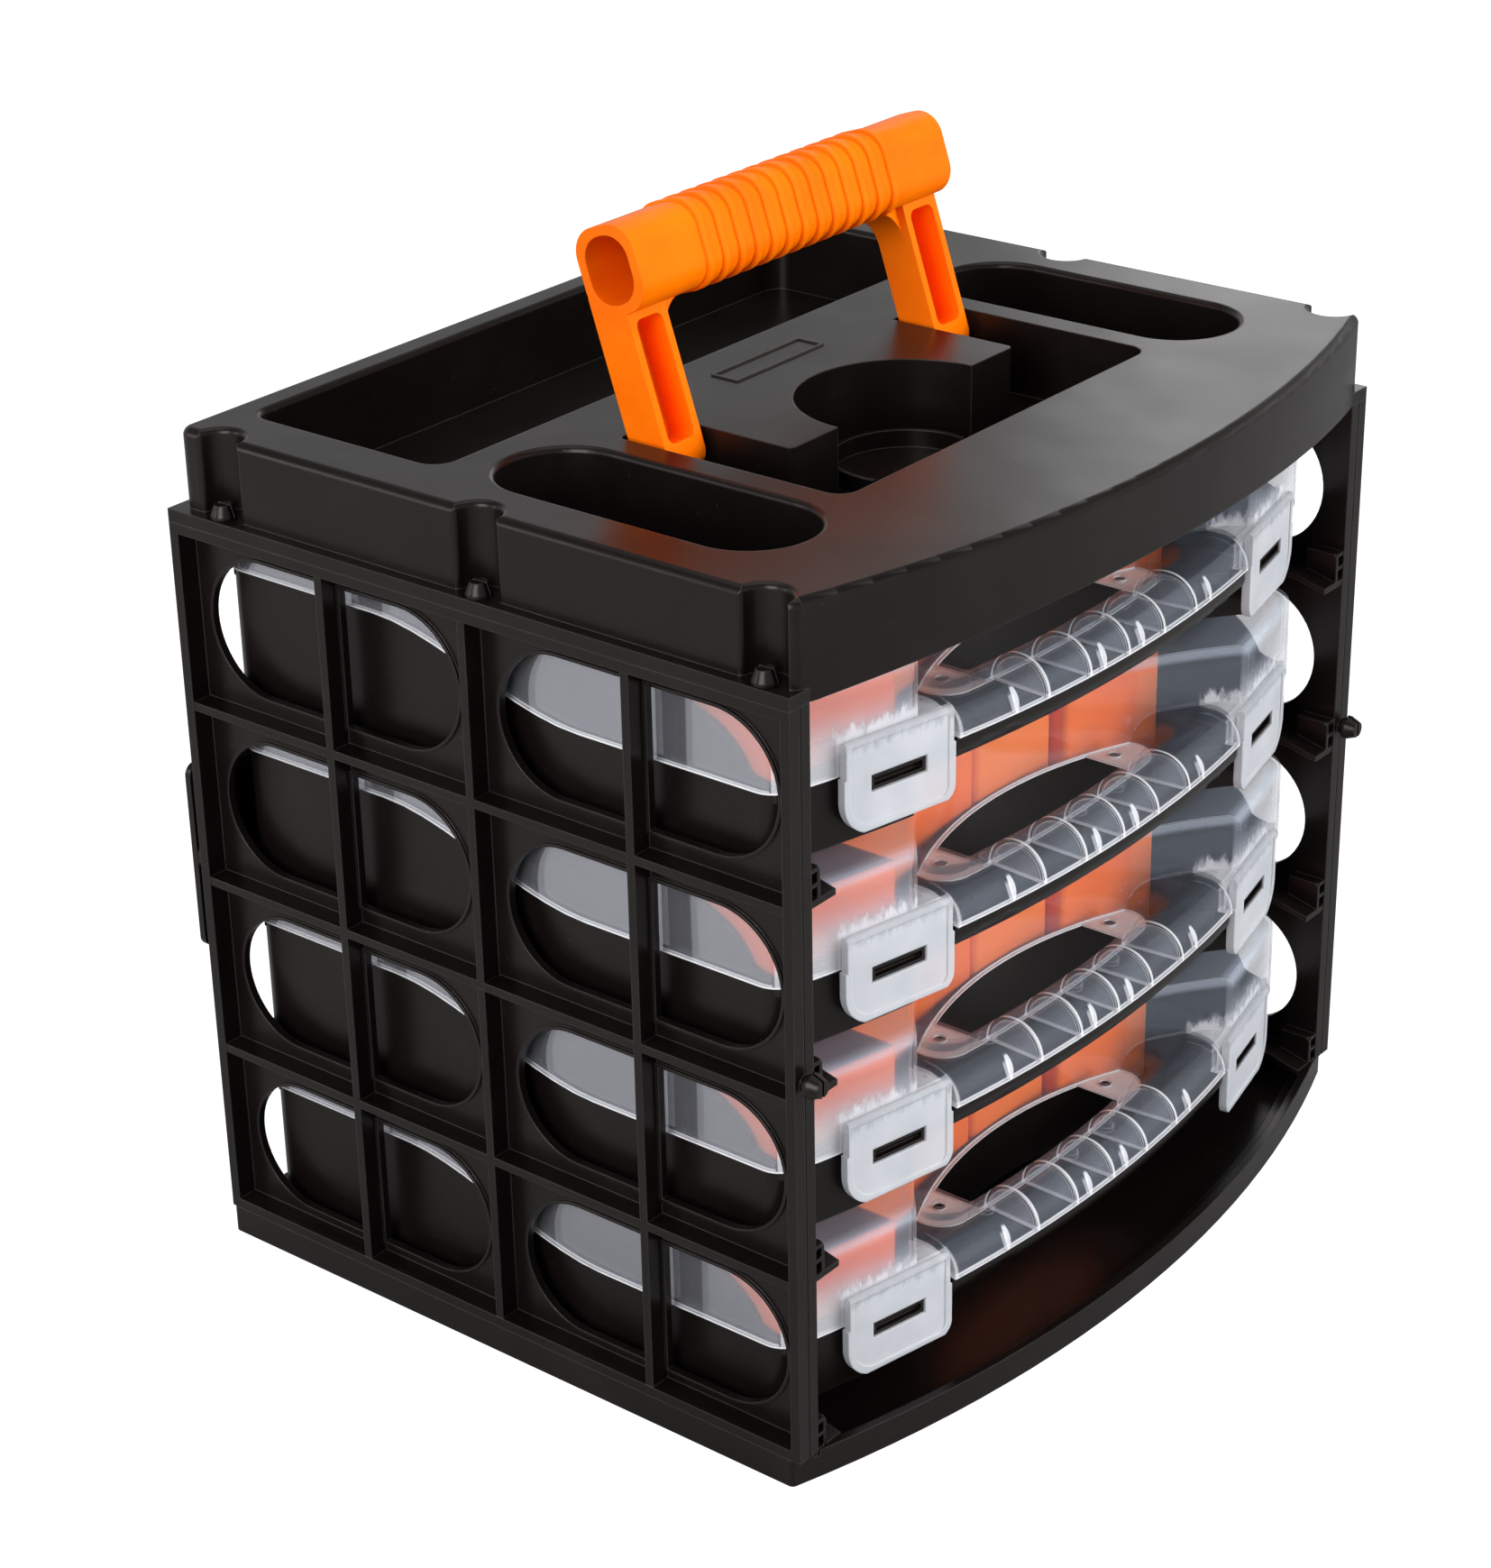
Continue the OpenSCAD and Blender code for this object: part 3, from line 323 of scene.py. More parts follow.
@dataclass(frozen=True)
class CaseForm:
    """Sizes and places of a case's forms, which its finishes and small parts follow, in metres."""

    floor: float = 10.0 * MM
    pitch: float = 63.8 * MM
    half_width: float = 147.2 * MM
    bow_y: float = 353.8 * MM
    bow: float = 485.0 * MM
    bar_front: float = 488.4 * MM
    bar_rear: float = 465.4 * MM
    bar_half: float = 79.8 * MM
    bar_top: float = 39.2 * MM
    bar_round: float = 11.5 * MM
    bar_middle: float = 27.6 * MM
    web_pitch: float = 21.0 * MM
    web_half: float = 0.55 * MM
    joint_front: float = 27.4 * MM
    joint_step: float = 18.8 * MM
    joint_start: float = -34.0 * MM
    joint_end: float = 50.0 * MM
    clip_x: float = 104.4 * MM
    clip_half: float = 20.6 * MM

    def joint(self, y: float) -> float:
        """Gives the height of the joint between tray and lid above the case's underside."""
        share = min(1.0, max(0.0, (y - self.joint_start) / (self.joint_end - self.joint_start)))
        return self.joint_front + self.joint_step * share * share * (3.0 - 2.0 * share)

    def underside(self, number: int) -> float:
        """Gives the height of a case's underside above the floor."""
        return self.floor + (number - 1) * self.pitch

    def above(self, z: Link) -> Link:
        """Turns a height above the floor into one above the underside of the case at that height."""
        return (z - self.floor) % self.pitch


FORM = CaseForm()


@dataclass(frozen=True)
class BlackShell:
    """Satin black polypropylene of the rack and the trays."""

    name: str = "black_shell"
    colour: Colour = (0.0046, 0.0033, 0.0030)
    worn: Colour = (0.024, 0.019, 0.017)
    # Light colour of the edges, which stands partly for wear and partly for a painted highlight along the
    # rims
    rubbed_and_highlit: Colour = (0.085, 0.078, 0.074)
    gloss: Colour = (1.0, 0.90, 0.88)
    shine: float = 0.27
    roughness: float = 0.22
    rough_flow: float = 0.10
    rough_clouds: float = 0.06
    edge: float = 0.7 * MM
    bend: Span = (0.02, 0.3)
    rub_and_highlight_least: float = 0.3
    rub_and_highlight_clouds: float = 0.5
    clouds: Pattern = Pattern(30.0, 3.0, 0.6)
    flow: Pattern = Pattern(14.0, stretch=(1.0, 1.0, 5.0))
    hair: Pattern = Pattern(90.0, 4.0, 0.7, (1.0, 14.0, 1.0))
    dust: Pattern = Pattern(900.0, 0.0)
    wave: Pattern = Pattern(26.0, 1.0)
    grain: Pattern = Pattern(2600.0, 1.0)
    cloud_span: Span = (0.45, 0.9)
    hair_span: Span = (0.64, 0.74)
    dust_span: Span = (0.81, 0.86)
    cloud_wear: float = 0.2
    hair_wear: float = 0.12
    dust_wear: float = 0.6
    sink: Relief = (0.5 * MM, 1.0)
    fine: Relief = (0.015 * MM, 0.5)

    def make(self) -> bpy.types.Material:
        """Builds the finish: sink marks, flow clouding, fine grain, dust, and edges painted lighter as wear
        and as a painted highlight.
        """
        r = Recipe.material(self.name)
        round_off = r.rounded(self.edge)
        clouds = r.noise(self.clouds)
        flow = r.noise(self.flow)
        hair = r.noise(self.hair).between(*self.hair_span)
        dust = r.noise(self.dust).between(*self.dust_span)
        stains = clouds.between(*self.cloud_span) * self.cloud_wear
        worn = stains + hair * self.hair_wear + dust * self.dust_wear
        # Edges painted lighter, partly as wear and partly as a painted highlight, patchy with the clouds
        rubbed_and_highlit = r.edges(round_off, self.bend) * (clouds * self.rub_and_highlight_clouds + self.rub_and_highlight_least)
        sink = r.bump(r.noise(self.wave), self.sink, round_off)
        fine = r.bump(r.noise(self.grain), self.fine, sink)
        return r.surface(
            Base_Color=r.mix(rubbed_and_highlit, r.mix(worn, self.colour, self.worn), self.rubbed_and_highlit),
            Roughness=self.roughness + flow * self.rough_flow + clouds * self.rough_clouds,
            Specular=self.shine,
            Specular_Tint=shade(self.gloss),
            Normal=r.bump(hair, self.fine, fine),
        )


class LidSpot:
    """The spot of a lid that is shaded, in the measures that the lid's masks are made of.

    These are y, the height above the case's underside, the distance from the middle to the side,
    the distance from the bow's centre, the place along the bar's front, and how far the spot lies
    ahead of the middle of the bar's round front.
    """

    def __init__(self, recipe: Recipe) -> None:
        """Adds the nodes that measure the spot."""
        x, self.y, z = recipe.parts(recipe.place())
        ahead = FORM.bow_y - self.y
        self.height = FORM.above(z)
        self.side = abs(x)
        self.bow = (x * x + ahead * ahead) ** 0.5
        self.along = x.maths("ARCTAN2", x, ahead) * FORM.bar_front
        self.deep = self.bow - (FORM.bar_front - FORM.bar_round)


@dataclass(frozen=True)
class ClearLid:
    """Natural polypropylene, thin enough to see the bins through.

    A span holds the measures at which a mask is 0 and 1. The shares say how white each mask turns
    the lid, and how much it adds to its alpha.
    """

    name: str = "clear_lid"
    body: Colour = (0.64, 0.72, 0.86)
    # Paler colour of the side walls, partly their haze and partly a painted reflection of the bright
    # surroundings
    side: Colour = (0.80, 0.82, 0.90)
    # White of the frost and the webs, which also serves as the painted highlight on the edges and lower rim
    # and as the painted glow low on the front
    bright: Colour = (0.90, 0.91, 0.94)
    edge: float = 0.6 * MM
    bend: Span = (0.04, 0.4)
    shine: float = 0.8
    alpha: float = 0.095
    alpha_most: float = 0.95
    gloss: float = 0.62
    gloss_wall: float = 0.18
    gloss_brow: float = 0.7
    roughness: float = 0.05
    rough_flow: float = 0.05
    rough_frost: float = 0.3
    rough_front_glow: float = 0.2
    haze: Pattern = Pattern(42.0, 3.0, 0.55)
    flow: Pattern = Pattern(60.0, 3.0, 0.6, (1.0, 1.0, 8.0))
    ragged: Pattern = Pattern(190.0, 4.0, 0.7, (1.6, 1.6, 0.45))
    wave: Pattern = Pattern(34.0, 1.0)
    wave_relief: Relief = (0.25 * MM, 1.0)
    wave_bar: float = 0.8
    flow_relief: Relief = (0.01 * MM, 0.5)
    leaves: tuple[float, ...] = (-57.2 * MM, -13.7 * MM, 7.9 * MM, 52.0 * MM)
    leaf_half: float = 1.3 * MM
    leaf_middle: float = 32.0 * MM
    leaf_reach: float = 5.5 * MM
    leaf_span: Span = (1.15, 0.85)
    leaf_deep: Span = (8.0 * MM, 9.0 * MM)
    ovals: tuple[float, ...] = (-56.2 * MM, -10.5 * MM, 11.7 * MM)
    oval_round: float = 3.0 * MM
    oval_half: float = 0.25 * MM
    oval_soft: float = 0.2 * MM
    oval_high: Span = (35.0 * MM, 36.0 * MM)
    oval_share: float = 0.35
    shell_span: Span = (FORM.bar_round - 1.9 * MM, FORM.bar_round - 1.6 * MM)
    web_soft: float = 0.15 * MM
    web_end: Span = (FORM.web_pitch * 2.4, FORM.web_pitch * 2.3)
    web_least: float = 0.25
    rim_span: Span = (0.8 * MM, 0.5 * MM)
    back_start: float = 10.0 * MM
    frost_soft: float = 1.0 * MM
    frost_front: Span = (-104.0 * MM, -106.0 * MM)
    frost_high: Span = (35.0 * MM, 31.0 * MM)
    frost_teeth: float = 16.0 * MM
    wall_side: Span = (FORM.half_width - 2.6 * MM, FORM.half_width - 2.0 * MM)
    front_bow: Span = (FORM.bow - 2.4 * MM, FORM.bow - 2.0 * MM)
    # Heights of the band low on the front that is painted whiter and more opaque, a painted glow of light
    # scattered in the milky plastic
    front_glow_high: Span = (46.0 * MM, 29.0 * MM)
    front_glow_rise: float = 0.05
    plate_high: Span = (53.5 * MM, 56.0 * MM)
    # Band along the top of the dome's front edge where gloss and alpha are lowered, a painted shade over a
    # glint
    brow_high: Span = (51.0 * MM, 54.0 * MM)
    brow_front: Span = (-90.0 * MM, -98.0 * MM)
    # The lower rim and the edges are painted white as highlights and the band low on the front is a painted
    # glow; the frost and the webs are the plastic's own white
    whites: Shares = (("line", 0.95), ("rim", 0.5), ("frost", 0.8), ("arcs", 0.9), ("front_glow", 0.8))
    # In the alphas, the shares of the lower rim and the edges make the painted highlights, the low front
    # band the painted glow, the walls' share is partly painted reflection and the brow's is painted shade
    alphas: Shares = (
        ("haze", 0.03), ("wall", 0.19), ("front", 0.09), ("front_glow", 0.24), ("plate", 0.20),
        ("line", 0.65), ("back_line", -0.35), ("brow", -0.04), ("rim", 0.35), ("wall_rim", -0.2),
        ("frost", 0.3), ("arcs", 0.55))

    def bar(self, spot: LidSpot) -> Link:
        """Marks the handle bar."""
        across = spot.bow.between(FORM.bar_rear - MM, FORM.bar_rear)
        return (across * spot.side.between(FORM.bar_half + MM, FORM.bar_half)
                * spot.height.between(FORM.bar_top + MM, FORM.bar_top))

    def leaf(self, spot: LidSpot, place: float) -> Link:
        """Marks the thick pointed rib that stands in the bar's front at a place along it."""
        wide = (spot.along - place) / self.leaf_half
        high = (spot.height - self.leaf_middle) / self.leaf_reach
        return (abs(wide) + high * high).between(*self.leaf_span)

    def oval(self, spot: LidSpot, place: float) -> Link:
        """Marks the ring that an ejector pin left on the bar's top at a place along it."""
        across = spot.along - place
        centre = (across * across + spot.deep * spot.deep) ** 0.5
        return centre.near(self.oval_round, self.oval_half, self.oval_soft)

    def arcs(self, spot: LidSpot, bar: Link) -> Link:
        """Marks the webs inside the bar, with its pointed ribs and rings."""
        rise = spot.height - FORM.bar_middle
        shell = ((rise * rise + spot.deep * spot.deep) ** 0.5).between(*self.shell_span)
        half_pitch = FORM.web_pitch / 2
        web = ((spot.along + half_pitch) % FORM.web_pitch).near(half_pitch, FORM.web_half, self.web_soft)
        web = web * bar * abs(spot.along).between(*self.web_end)
        leaves = strongest([self.leaf(spot, place) for place in self.leaves])
        rings = strongest([self.oval(spot, place) for place in self.ovals])
        marks = (leaves * spot.deep.between(*self.leaf_deep)).most(
            rings * self.oval_share * spot.height.between(*self.oval_high))
        return (web * (self.web_least + shell * (1.0 - self.web_least))).most(marks * bar * shell)

    def line(self, spot: LidSpot) -> Link:
        """Marks the lid's lower rim along its joint with the tray, which is painted white as a highlight.
        """
        joint = spot.y.between(FORM.joint_start, FORM.joint_end) * FORM.joint_step + FORM.joint_front
        return (spot.height - joint).between(*self.rim_span)

    def frost(self, spot: LidSpot, ragged: Link) -> Link:
        """Marks the frosted front behind each clip, which ends in teeth."""
        behind = spot.side.near(FORM.clip_x, FORM.clip_half, self.frost_soft)
        teeth = (spot.height - ragged * self.frost_teeth).between(*self.frost_high)
        return behind * spot.y.between(*self.frost_front) * teeth

    def make(self) -> bpy.types.Material:
        """Builds the finish: clear and glossy, milky in front with a painted glow low down, with edges and
        lower rim painted white as highlights, and with bright webs.
        """
        r = Recipe.material(self.name)
        spot = LidSpot(r)
        bar = self.bar(spot)
        front = spot.bow.between(*self.front_bow) * (1.0 - bar)
        # Side walls: paler, more opaque and more mirror-like, partly their haze and partly a painted
        # reflection
        wall = spot.side.between(*self.wall_side)
        # Painted glow: the front is whiter and more opaque low down and fades towards the top
        front_glow = front * (spot.height - spot.side * self.front_glow_rise).between(*self.front_glow_high)
        # Painted shade: less reflection and alpha along the dome's front top edge
        brow = spot.height.between(*self.brow_high) * spot.y.between(*self.brow_front)
        line = self.line(spot)
        frost = self.frost(spot, r.noise(self.ragged))
        flow = r.noise(self.flow)
        round_off = r.rounded(self.edge)
        # The edges are painted white and more opaque as highlights
        rim = r.edges(round_off, self.bend)
        masks = {
            "haze": r.noise(self.haze),
            "wall": wall,
            "front": front,
            "front_glow": front_glow,
            "plate": spot.height.between(*self.plate_high),
            "line": line,
            "back_line": line * spot.y.between(self.back_start, FORM.joint_end),
            "brow": brow,
            "rim": rim,
            "wall_rim": rim * wall,
            "frost": frost,
            "arcs": self.arcs(spot, bar),
        }
        white = strongest([masks[name] * share for name, share in self.whites])
        alpha: Union[Link, float] = self.alpha
        for name, share in self.alphas:
            alpha = masks[name] * share + alpha
        wave = r.bump(r.noise(self.wave) * (1.0 - bar * self.wave_bar), self.wave_relief, round_off)
        gloss = (1.0 - brow * self.gloss_brow) * (self.gloss + wall * self.gloss_wall)
        rough = flow * self.rough_flow + frost * self.rough_frost + front_glow * self.rough_front_glow
        return r.surface(
            Base_Color=r.mix(white, r.mix(wall, self.body, self.side), self.bright),
            Metallic=(1.0 - white) * gloss,
            Roughness=self.roughness + rough,
            Alpha=alpha.least(self.alpha_most),
            Specular=self.shine,
            Normal=r.bump(flow, self.flow_relief, wave),
        )


@dataclass(frozen=True)
class FrostedClip:
    """The same plastic where it is thick and finely grained."""

    name: str = "frosted_clip"
    colour: Colour = (0.53, 0.56, 0.61)
    # White of the clouds, which also serves as the painted highlight on the edges
    bright: Colour = (0.84, 0.85, 0.88)
    alpha: float = 0.68
    alpha_cloud: float = 0.08
    alpha_rim: float = 0.9
    shine: float = 0.6
    roughness: float = 0.34
    rough_cloud: float = 0.1
    edge: float = 0.8 * MM
    bend: Span = (0.03, 0.3)
    cloud: Pattern = Pattern(70.0, 2.0, 0.5)
    cloud_white: float = 0.5
    cloud_relief: Relief = (0.1 * MM, 0.6)
    grain: Pattern = Pattern(2200.0, 1.0)
    grain_relief: Relief = (0.02 * MM, 0.6)
    ragged: Pattern = Pattern(230.0, 4.0, 0.7, (1.6, 1.6, 0.5))
    clear_high: Span = (38.5 * MM, 42.5 * MM)
    clear_teeth: float = 9.0 * MM
    clear_share: float = 0.45

    def make(self) -> bpy.types.Material:
        """Builds the finish: a cloudy grained body with edges painted bright as highlights, that clears
        towards its hinge.
        """
        r = Recipe.material(self.name)
        height = FORM.above(r.parts(r.place())[2])
        cloud = r.noise(self.cloud)
        clear = (height + r.noise(self.ragged) * self.clear_teeth).between(*self.clear_high)
        round_off = r.rounded(self.edge)
        # The edges are painted white and nearly opaque as highlights
        rim = r.edges(round_off, self.bend)
        body = (1.0 - clear * self.clear_share) * (self.alpha + cloud * self.alpha_cloud)
        grain = r.bump(r.noise(self.grain), self.grain_relief, round_off)
        return r.surface(
            Base_Color=r.mix((cloud * self.cloud_white).most(rim), self.colour, self.bright),
            Roughness=self.roughness + cloud * self.rough_cloud,
            Alpha=body.most(rim * self.alpha_rim),
            Specular=self.shine,
            Normal=r.bump(cloud, self.cloud_relief, grain),
        )


@dataclass(frozen=True)
class OrangePlastic:
    """Bright orange plastic of the carrying handle or the bins.

    A column width above 0 gives every second column of bins a deeper tone.
    """

    name: str
    colour: Colour
    deep: Colour
    glow: float
    column: float = 0.0
    column_start: float = 0.18
    column_span: Span = (0.99, 1.01)
    column_share: float = 0.5
    glow_radius: Colour = (1.0, 0.35, 0.05)
    glow_scale: float = 2.0 * MM
    shine: float = 0.14
    roughness: float = 0.34
    rough_flow: float = 0.12
    edge: float = 0.6 * MM
    cloud: Pattern = Pattern(28.0, 3.0, 0.55)
    cloud_span: Span = (0.3, 0.8)
    cloud_relief: Relief = (0.3 * MM, 0.8)
    flow: Pattern = Pattern(70.0, 3.0, 0.6, (3.0, 1.0, 1.0))
    grain: Pattern = Pattern(2400.0, 1.0)
    grain_relief: Relief = (0.015 * MM, 0.6)

    def make(self) -> bpy.types.Material:
        """Builds the finish: faint clouding, a satin gloss, a fine grain and a tone for each column."""
        r = Recipe.material(self.name)
        cloud = r.noise(self.cloud)
        tone = cloud.between(*self.cloud_span)
        if self.column:
            place = r.parts(r.place())[0] / self.column + self.column_start
            step = (place % 2.0).between(*self.column_span)
            tone = tone * (1.0 - self.column_share) + step * self.column_share
        grain = r.bump(r.noise(self.grain), self.grain_relief, r.rounded(self.edge))
        return r.surface(
            Base_Color=r.mix(tone, self.colour, self.deep),
            Roughness=self.roughness + r.noise(self.flow) * self.rough_flow,
            Specular=self.shine,
            Subsurface_Weight=self.glow,
            Subsurface_Radius=self.glow_radius,
            Subsurface_Scale=self.glow_scale,
            Normal=r.bump(cloud, self.cloud_relief, grain),
        )


class Finish(Enum):
    """The finishes of the record's material slots."""

    BLACK = BlackShell()
    LID = ClearLid()
    CLIP = FrostedClip()
    HANDLE = OrangePlastic("orange_handle", (1.0, 0.19, 0.0), (0.93, 0.14, 0.0), 0.15)
    BIN = OrangePlastic("orange_bin", (1.0, 0.23, 0.03), (1.0, 0.155, 0.012), 0.1, 45.0 * MM)


class Dresser:
    """Makes each finish once and puts it on pieces."""

    def __init__(self) -> None:
        """Starts with no finish made."""
        self.made: dict[Finish, bpy.types.Material] = {}

    def material(self, finish: Finish) -> bpy.types.Material:
        """Gives a finish's material, which is made at its first use."""
        if finish not in self.made:
            self.made[finish] = finish.value.make()
        return self.made[finish]

    def dress(self, piece: bpy.types.Object, finish: Finish) -> None:
        """Puts a finish on a piece.

        Args:
            piece: A CAD node or a piece of this scene.
            finish: The finish that covers it.
        """
        piece.data.materials.clear()
        piece.data.materials.append(self.material(finish))
        log.info("%s is dressed as %s", piece.name, finish.name)


@dataclass
class Rack:
    """Base, lattice side panels, rear brace and pocketed top cover."""

    dresser: Dresser
    nodes: tuple[str, ...] = ("base", "left_panel", "right_panel", "rear_brace", "top_cover")

    def build(self) -> None:
        """Dresses the rack's moulded pieces."""
        for node in self.nodes:
            self.dresser.dress(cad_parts[node], Finish.BLACK)


@dataclass
class CarryHandle:
    """The folding handle with its ringed hollow grip."""

    dresser: Dresser

    def build(self) -> None:
        """Dresses the handle."""
        self.dresser.dress(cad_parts["carry_handle"], Finish.HANDLE)


class WallSection(NamedTuple):
    """A section of a standing wall: its outer and inner foot, and its low and high edge."""

    outer: Vector
    inner: Vector
    low: float
    high: float


@dataclass
class Case:
    """One slide-out case with tray, lid, two clips and bins.

    The tray's inner skirt and the bin at the left end of the front row are pieces of this scene.
    Their sizes are in metres, with heights above the case's underside.
    """

    dresser: Dresser
    number: int
    parts: dict[str, Finish] = field(default_factory=lambda: {
        "tray": Finish.BLACK,
        "lid": Finish.LID,
        "left_clip": Finish.CLIP,
        "right_clip": Finish.CLIP,
        "front_bins": Finish.BIN,
        "rear_bins": Finish.BIN,
    })
    skirt_top: float = 50.2 * MM
    skirt_out: float = 144.9 * MM
    skirt_wall: float = 1.5 * MM
    skirt_back: float = 113.5 * MM
    skirt_step: float = 9.0 * MM
    skirt_steps: int = 20
    skirt_bend: float = -59.7 * MM
    skirt_reach: float = 38.5 * MM
    skirt_drop: float = 24.5 * MM
    bend_steps: int = 20
    skirt_nose: tuple[Span, ...] = (
        (-96.9 * MM, 32.0 * MM), (-98.9 * MM, 31.1 * MM), (-106.4 * MM, 29.7 * MM))
    upstand_r: float = 482.9 * MM
    upstand_top: float = 31.0 * MM
    upstand_ends: Span = (144.6 * MM, 94.7 * MM)
    upstand_steps: int = 14
    root: float = 3.0 * MM
    bin_sides: Span = (-142.2 * MM, -99.2 * MM)
    bin_back: float = -26.6 * MM
    bin_reach: float = 480.4 * MM
    bin_foot: float = 6.9 * MM
    bin_top: float = 54.4 * MM
    bin_wall: float = 1.0 * MM
    bin_steps: int = 8

    def build(self) -> None:
        """Dresses the case's moulded pieces and adds the inner skirt and the left front bin."""
        for part, finish in self.parts.items():
            self.dresser.dress(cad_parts[f"case{self.number}_{part}"], finish)
        self.skirt()
        self.corner_bin()

    def skirt(self) -> None:
        """Builds the black wall that stands up inside the lid, on both sides and in front."""
        shape = bmesh.new()
        side = self.side_rows()
        front = self.front_rows()
        for sign in (-1.0, 1.0):
            self.sheet(shape, side, sign)
            self.sheet(shape, front, sign)
        self.place_piece(shape, "inner_skirt", Finish.BLACK)

    def corner_bin(self) -> None:
        """Builds the open bin in the compartment at the left end of the front row."""
        shape = bmesh.new()
        left, right = self.bin_sides
        levels = ((0.0, 0.0), (0.0, 1.0), (1.0, 1.0), (1.0, 0.0))
        rings = []
        for inset, share in levels:
            step = inset * self.bin_wall
            low, high = left + step, right - step
            reach = self.bin_reach - step
            edge = [low + (high - low) * n / self.bin_steps for n in range(self.bin_steps + 1)]
            outline = [(x, FORM.bow_y - (reach * reach - x * x) ** 0.5) for x in edge]
            outline += [(high, self.bin_back - step), (low, self.bin_back - step)]
            foot = self.bin_foot + step
            z = foot + (self.bin_top - foot) * share + FORM.underside(self.number)
            rings.append([shape.verts.new((x, y, z)) for x, y in outline])
        for first, second in zip(rings, rings[1:]):
            for n in range(len(first)):
                shape.faces.new((first[n - 1], first[n], second[n], second[n - 1]))
        shape.faces.new(reversed(rings[0]))
        shape.faces.new(rings[-1])
        self.place_piece(shape, "left_front_bin", Finish.BIN)

    def place_piece(self, shape: bmesh.types.BMesh, name: str, finish: Finish) -> None:
        """Turns a finished mesh into a piece that rides with the case.

        Args:
            shape: The mesh, which is freed.
            name: The piece's name without the case's.
            finish: The finish that covers it.
        """
        bmesh.ops.recalc_face_normals(shape, faces=shape.faces)
        mesh = bpy.data.meshes.new(f"case{self.number}_{name}")
        shape.to_mesh(mesh)
        shape.free()
        made = bpy.data.objects.new(mesh.name, mesh)
        bpy.context.scene.collection.objects.link(made)
        self.dresser.dress(made, finish)
        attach(made, f"case{self.number}")

    def side_rows(self) -> list[WallSection]:
        """Lists the side wall's sections from the back, where it ends in a bend and a low nose."""
        backs = [self.skirt_back - n * self.skirt_step for n in range(self.skirt_steps)]
        places = [(y, self.skirt_top) for y in backs if y > self.skirt_bend]
        for n in range(1, self.bend_steps):
            turn = n * pi / 2 / self.bend_steps
            y = self.skirt_bend - self.skirt_reach * sin(turn)
            if y > self.skirt_nose[0][0]:
                places.append((y, self.skirt_top - self.skirt_drop * (1 - cos(turn))))
        rows = []
        for y, top in places + list(self.skirt_nose):
            outer = Vector((self.skirt_out, y, 0.0))
            inner = outer - Vector((self.skirt_wall, 0.0, 0.0))
            rows.append(WallSection(outer, inner, FORM.joint(y) - self.root, top))
        return rows

    def front_rows(self) -> list[WallSection]:
        """Lists the front upstand's sections along the bow, from the corner inwards."""
        rows = []
        start, end = self.upstand_ends
        for n in range(self.upstand_steps + 1):
            turn = asin((start + (end - start) * n / self.upstand_steps) / self.upstand_r)
            outer, inner = (Vector((r * sin(turn), FORM.bow_y - r * cos(turn), 0.0))
                            for r in (self.upstand_r, self.upstand_r - self.skirt_wall))
            rows.append(WallSection(outer, inner, FORM.joint_front - self.root, self.upstand_top))
        return rows

    def sheet(self, shape: bmesh.types.BMesh, rows: Sequence[WallSection], sign: float) -> None:
        """Adds one closed wall that runs through its sections.

        Args:
            shape: The mesh under construction.
            rows: The sections.
            sign: 1 for the right side and -1 for the left.
        """
        lift = FORM.underside(self.number)
        rings = []
        for outer, inner, low, high in rows:
            corners = ((outer, low), (outer, high), (inner, high), (inner, low))
            rings.append([shape.verts.new((sign * p.x, p.y, z + lift)) for p, z in corners])
        for first, second in zip(rings, rings[1:]):
            for n in range(len(first)):
                shape.faces.new((first[n], first[n - 1], second[n - 1], second[n]))
        shape.faces.new(rings[0])
        shape.faces.new(reversed(rings[-1]))


@dataclass(frozen=True)
class Lamp:
    """A soft square lamp: its place, side and power, and whether glossy surfaces show it."""

    name: str
    spot: Point
    size: float
    watts: float
    mirrored: bool = True


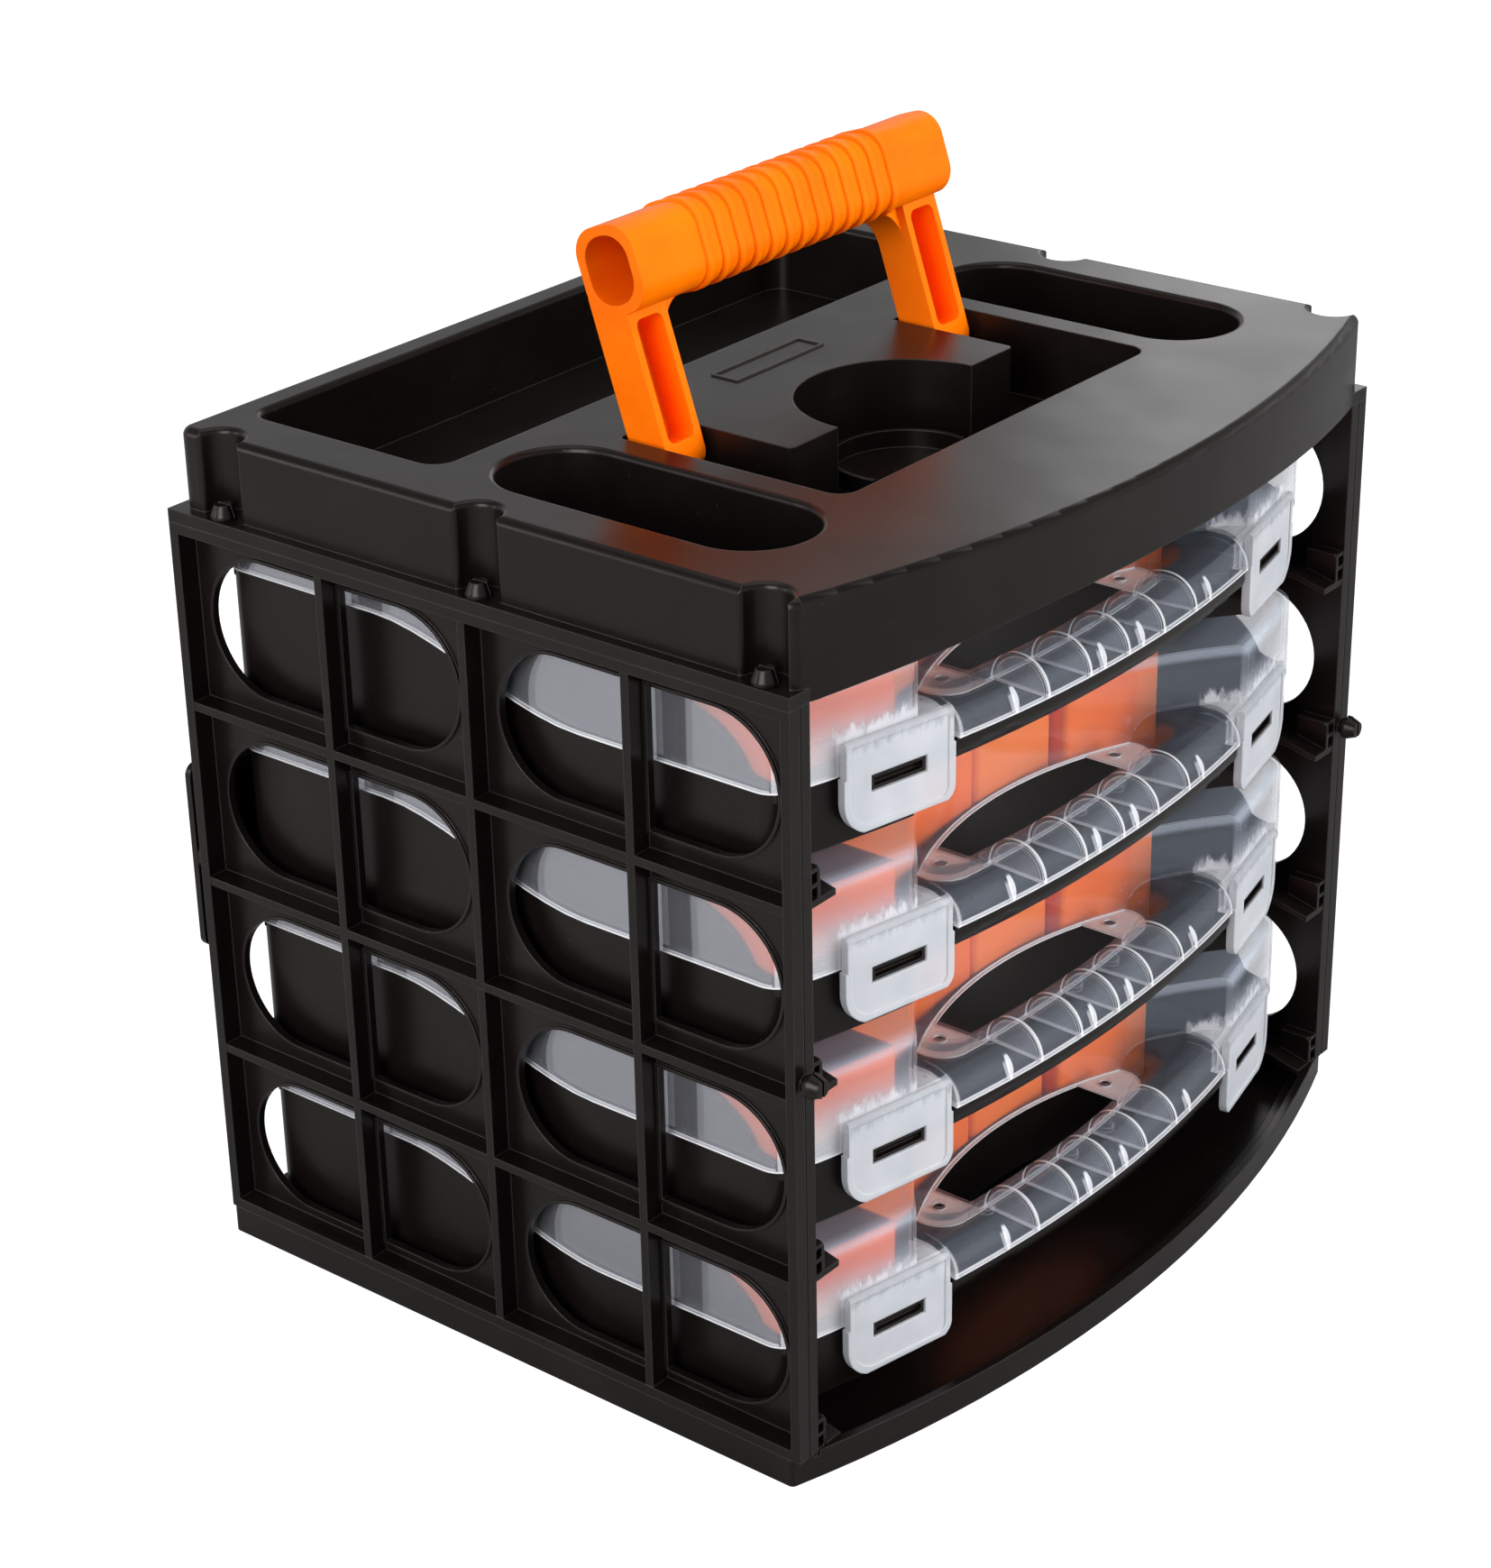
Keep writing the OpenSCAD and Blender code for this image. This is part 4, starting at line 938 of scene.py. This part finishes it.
@dataclass
class Studio:
    """Floor, soft lamps, white surroundings and the camera, in metres.

    The camera's axes and its focal length in the photograph's pixels come from a fit to the rack.
    """

    eye: Point = (-0.868724, -0.682734, 0.675576)
    right: Point = (0.62240803, -0.78246854, -0.01874114)
    down: Point = (-0.34869304, -0.25576895, -0.90166258)
    ahead: Point = (0.7007292, 0.56773693, -0.43203399)
    focal: float = 3951.321
    photo_height: int = 1739
    sensor: float = 36.0
    clip: Span = (0.05, 20.0)
    lamps: tuple[Lamp, ...] = (
        Lamp("overhead", (0.1, 0.1, 2.0), 1.6, 10.0),
        Lamp("right_front", (0.7, -2.0, 0.9), 1.3, 50.0, mirrored=False),
        Lamp("left_front", (-1.9, -0.3, 1.0), 1.2, 32.0),
        Lamp("back_right", (1.72, 0.80, 0.94), 0.35, 1.3),
        Lamp("back_left", (-1.6, 1.5, 0.8), 0.6, 5.0),
    )
    aim: Point = (0.0, 0.0, 0.15)
    daylight: float = 0.44
    low: float = 0.68
    high: float = 0.176
    horizon: Span = (0.75, 0.25)
    white: Colour = (1.0, 1.0, 1.0)
    floor_half: float = 4.0
    floor_drop: float = 0.2 * MM
    floor_white: float = 0.85
    floor_gloss: float = 0.20
    floor_fade: Span = (-0.3, 0.7)
    floor_tone: Colour = (0.35, 0.35, 0.35)
    floor_roughness: float = 0.9
    floor_shine: float = 0.1

    def build(self) -> None:
        """Sets up the whole studio."""
        self.camera()
        for lamp in self.lamps:
            self.light(lamp)
        self.surroundings()
        self.floor()
        bpy.context.scene.view_settings.view_transform = "Standard"

    def camera(self) -> None:
        """Places the camera where the photograph was taken from."""
        data = bpy.data.cameras.new("camera")
        data.lens = self.focal * self.sensor / self.photo_height
        data.sensor_fit = "AUTO"
        data.sensor_width = self.sensor
        data.clip_start, data.clip_end = self.clip
        made = bpy.data.objects.new("camera", data)
        bpy.context.scene.collection.objects.link(made)
        columns = (Vector(self.right), -Vector(self.down), -Vector(self.ahead))
        made.matrix_world = Matrix.Translation(self.eye) @ Matrix(columns).transposed().to_4x4()
        bpy.context.scene.camera = made

    def light(self, lamp: Lamp) -> None:
        """Adds a lamp that points at the rack's middle."""
        data = bpy.data.lights.new(lamp.name, "AREA")
        data.size = lamp.size
        data.energy = lamp.watts
        made = bpy.data.objects.new(lamp.name, data)
        made.visible_glossy = lamp.mirrored
        bpy.context.scene.collection.objects.link(made)
        turn = (Vector(self.aim) - Vector(lamp.spot)).to_track_quat("-Z", "Y")
        made.matrix_world = Matrix.Translation(lamp.spot) @ turn.to_matrix().to_4x4()

    def surroundings(self) -> None:
        """Makes the world white to look at, darker towards the top in mirrors, and plain as a light."""
        world = bpy.data.worlds.new("surroundings")
        bpy.context.scene.world = world
        r = Recipe(world, "ShaderNodeOutputWorld")
        seen = self.seen(r)
        glossy = self.ray(r, "Is Glossy Ray")
        rise = r.parts(r.node("ShaderNodeTexCoord", out="Generated"))[2]
        mirrored = rise.between(*self.horizon) * (self.low - self.high) + self.high
        plain = (1.0 - seen.most(glossy)) * self.daylight
        r.finish(r.node("ShaderNodeBackground", inputs={
            "Color": shade(self.white),
            "Strength": seen.most(glossy * mirrored) + plain,
        }))

    def ray(self, recipe: Recipe, name: str) -> Link:
        """Tells whether the ray that looks is of a kind."""
        return recipe.node("ShaderNodeLightPath", out=name)

    def seen(self, recipe: Recipe) -> Link:
        """Tells whether the camera looks, also through a clear piece."""
        return self.ray(recipe, "Is Camera Ray").most(self.ray(recipe, "Is Transmission Ray"))

    def floor(self) -> None:
        """Lays a plain pale floor that is white to look at and keeps a soft shadow."""
        mesh = bpy.data.meshes.new("floor")
        shape = bmesh.new()
        bmesh.ops.create_grid(shape, x_segments=1, y_segments=1, size=self.floor_half)
        shape.to_mesh(mesh)
        shape.free()
        made = bpy.data.objects.new("floor", mesh)
        made.location.z = -self.floor_drop
        bpy.context.scene.collection.objects.link(made)
        r = Recipe.material("floor")
        x, y, _ = r.parts(r.place())
        behind = (y - x).between(*self.floor_fade) * self.floor_gloss
        mesh.materials.append(r.surface(
            Base_Color=shade(self.floor_tone),
            Roughness=self.floor_roughness,
            Specular=self.floor_shine,
            Emission_Color=shade(self.white),
            Emission_Strength=self.seen(r) * self.floor_white + self.ray(r, "Is Glossy Ray") * behind,
        ))


def main() -> None:
    """Builds the studio and dresses every sub-assembly."""
    logging.basicConfig(level=logging.INFO, format="%(message)s")
    dresser = Dresser()
    Studio().build()
    Rack(dresser).build()
    CarryHandle(dresser).build()
    for number in range(1, 5):
        Case(dresser, number).build()


if __name__ == "__main__":
    main()
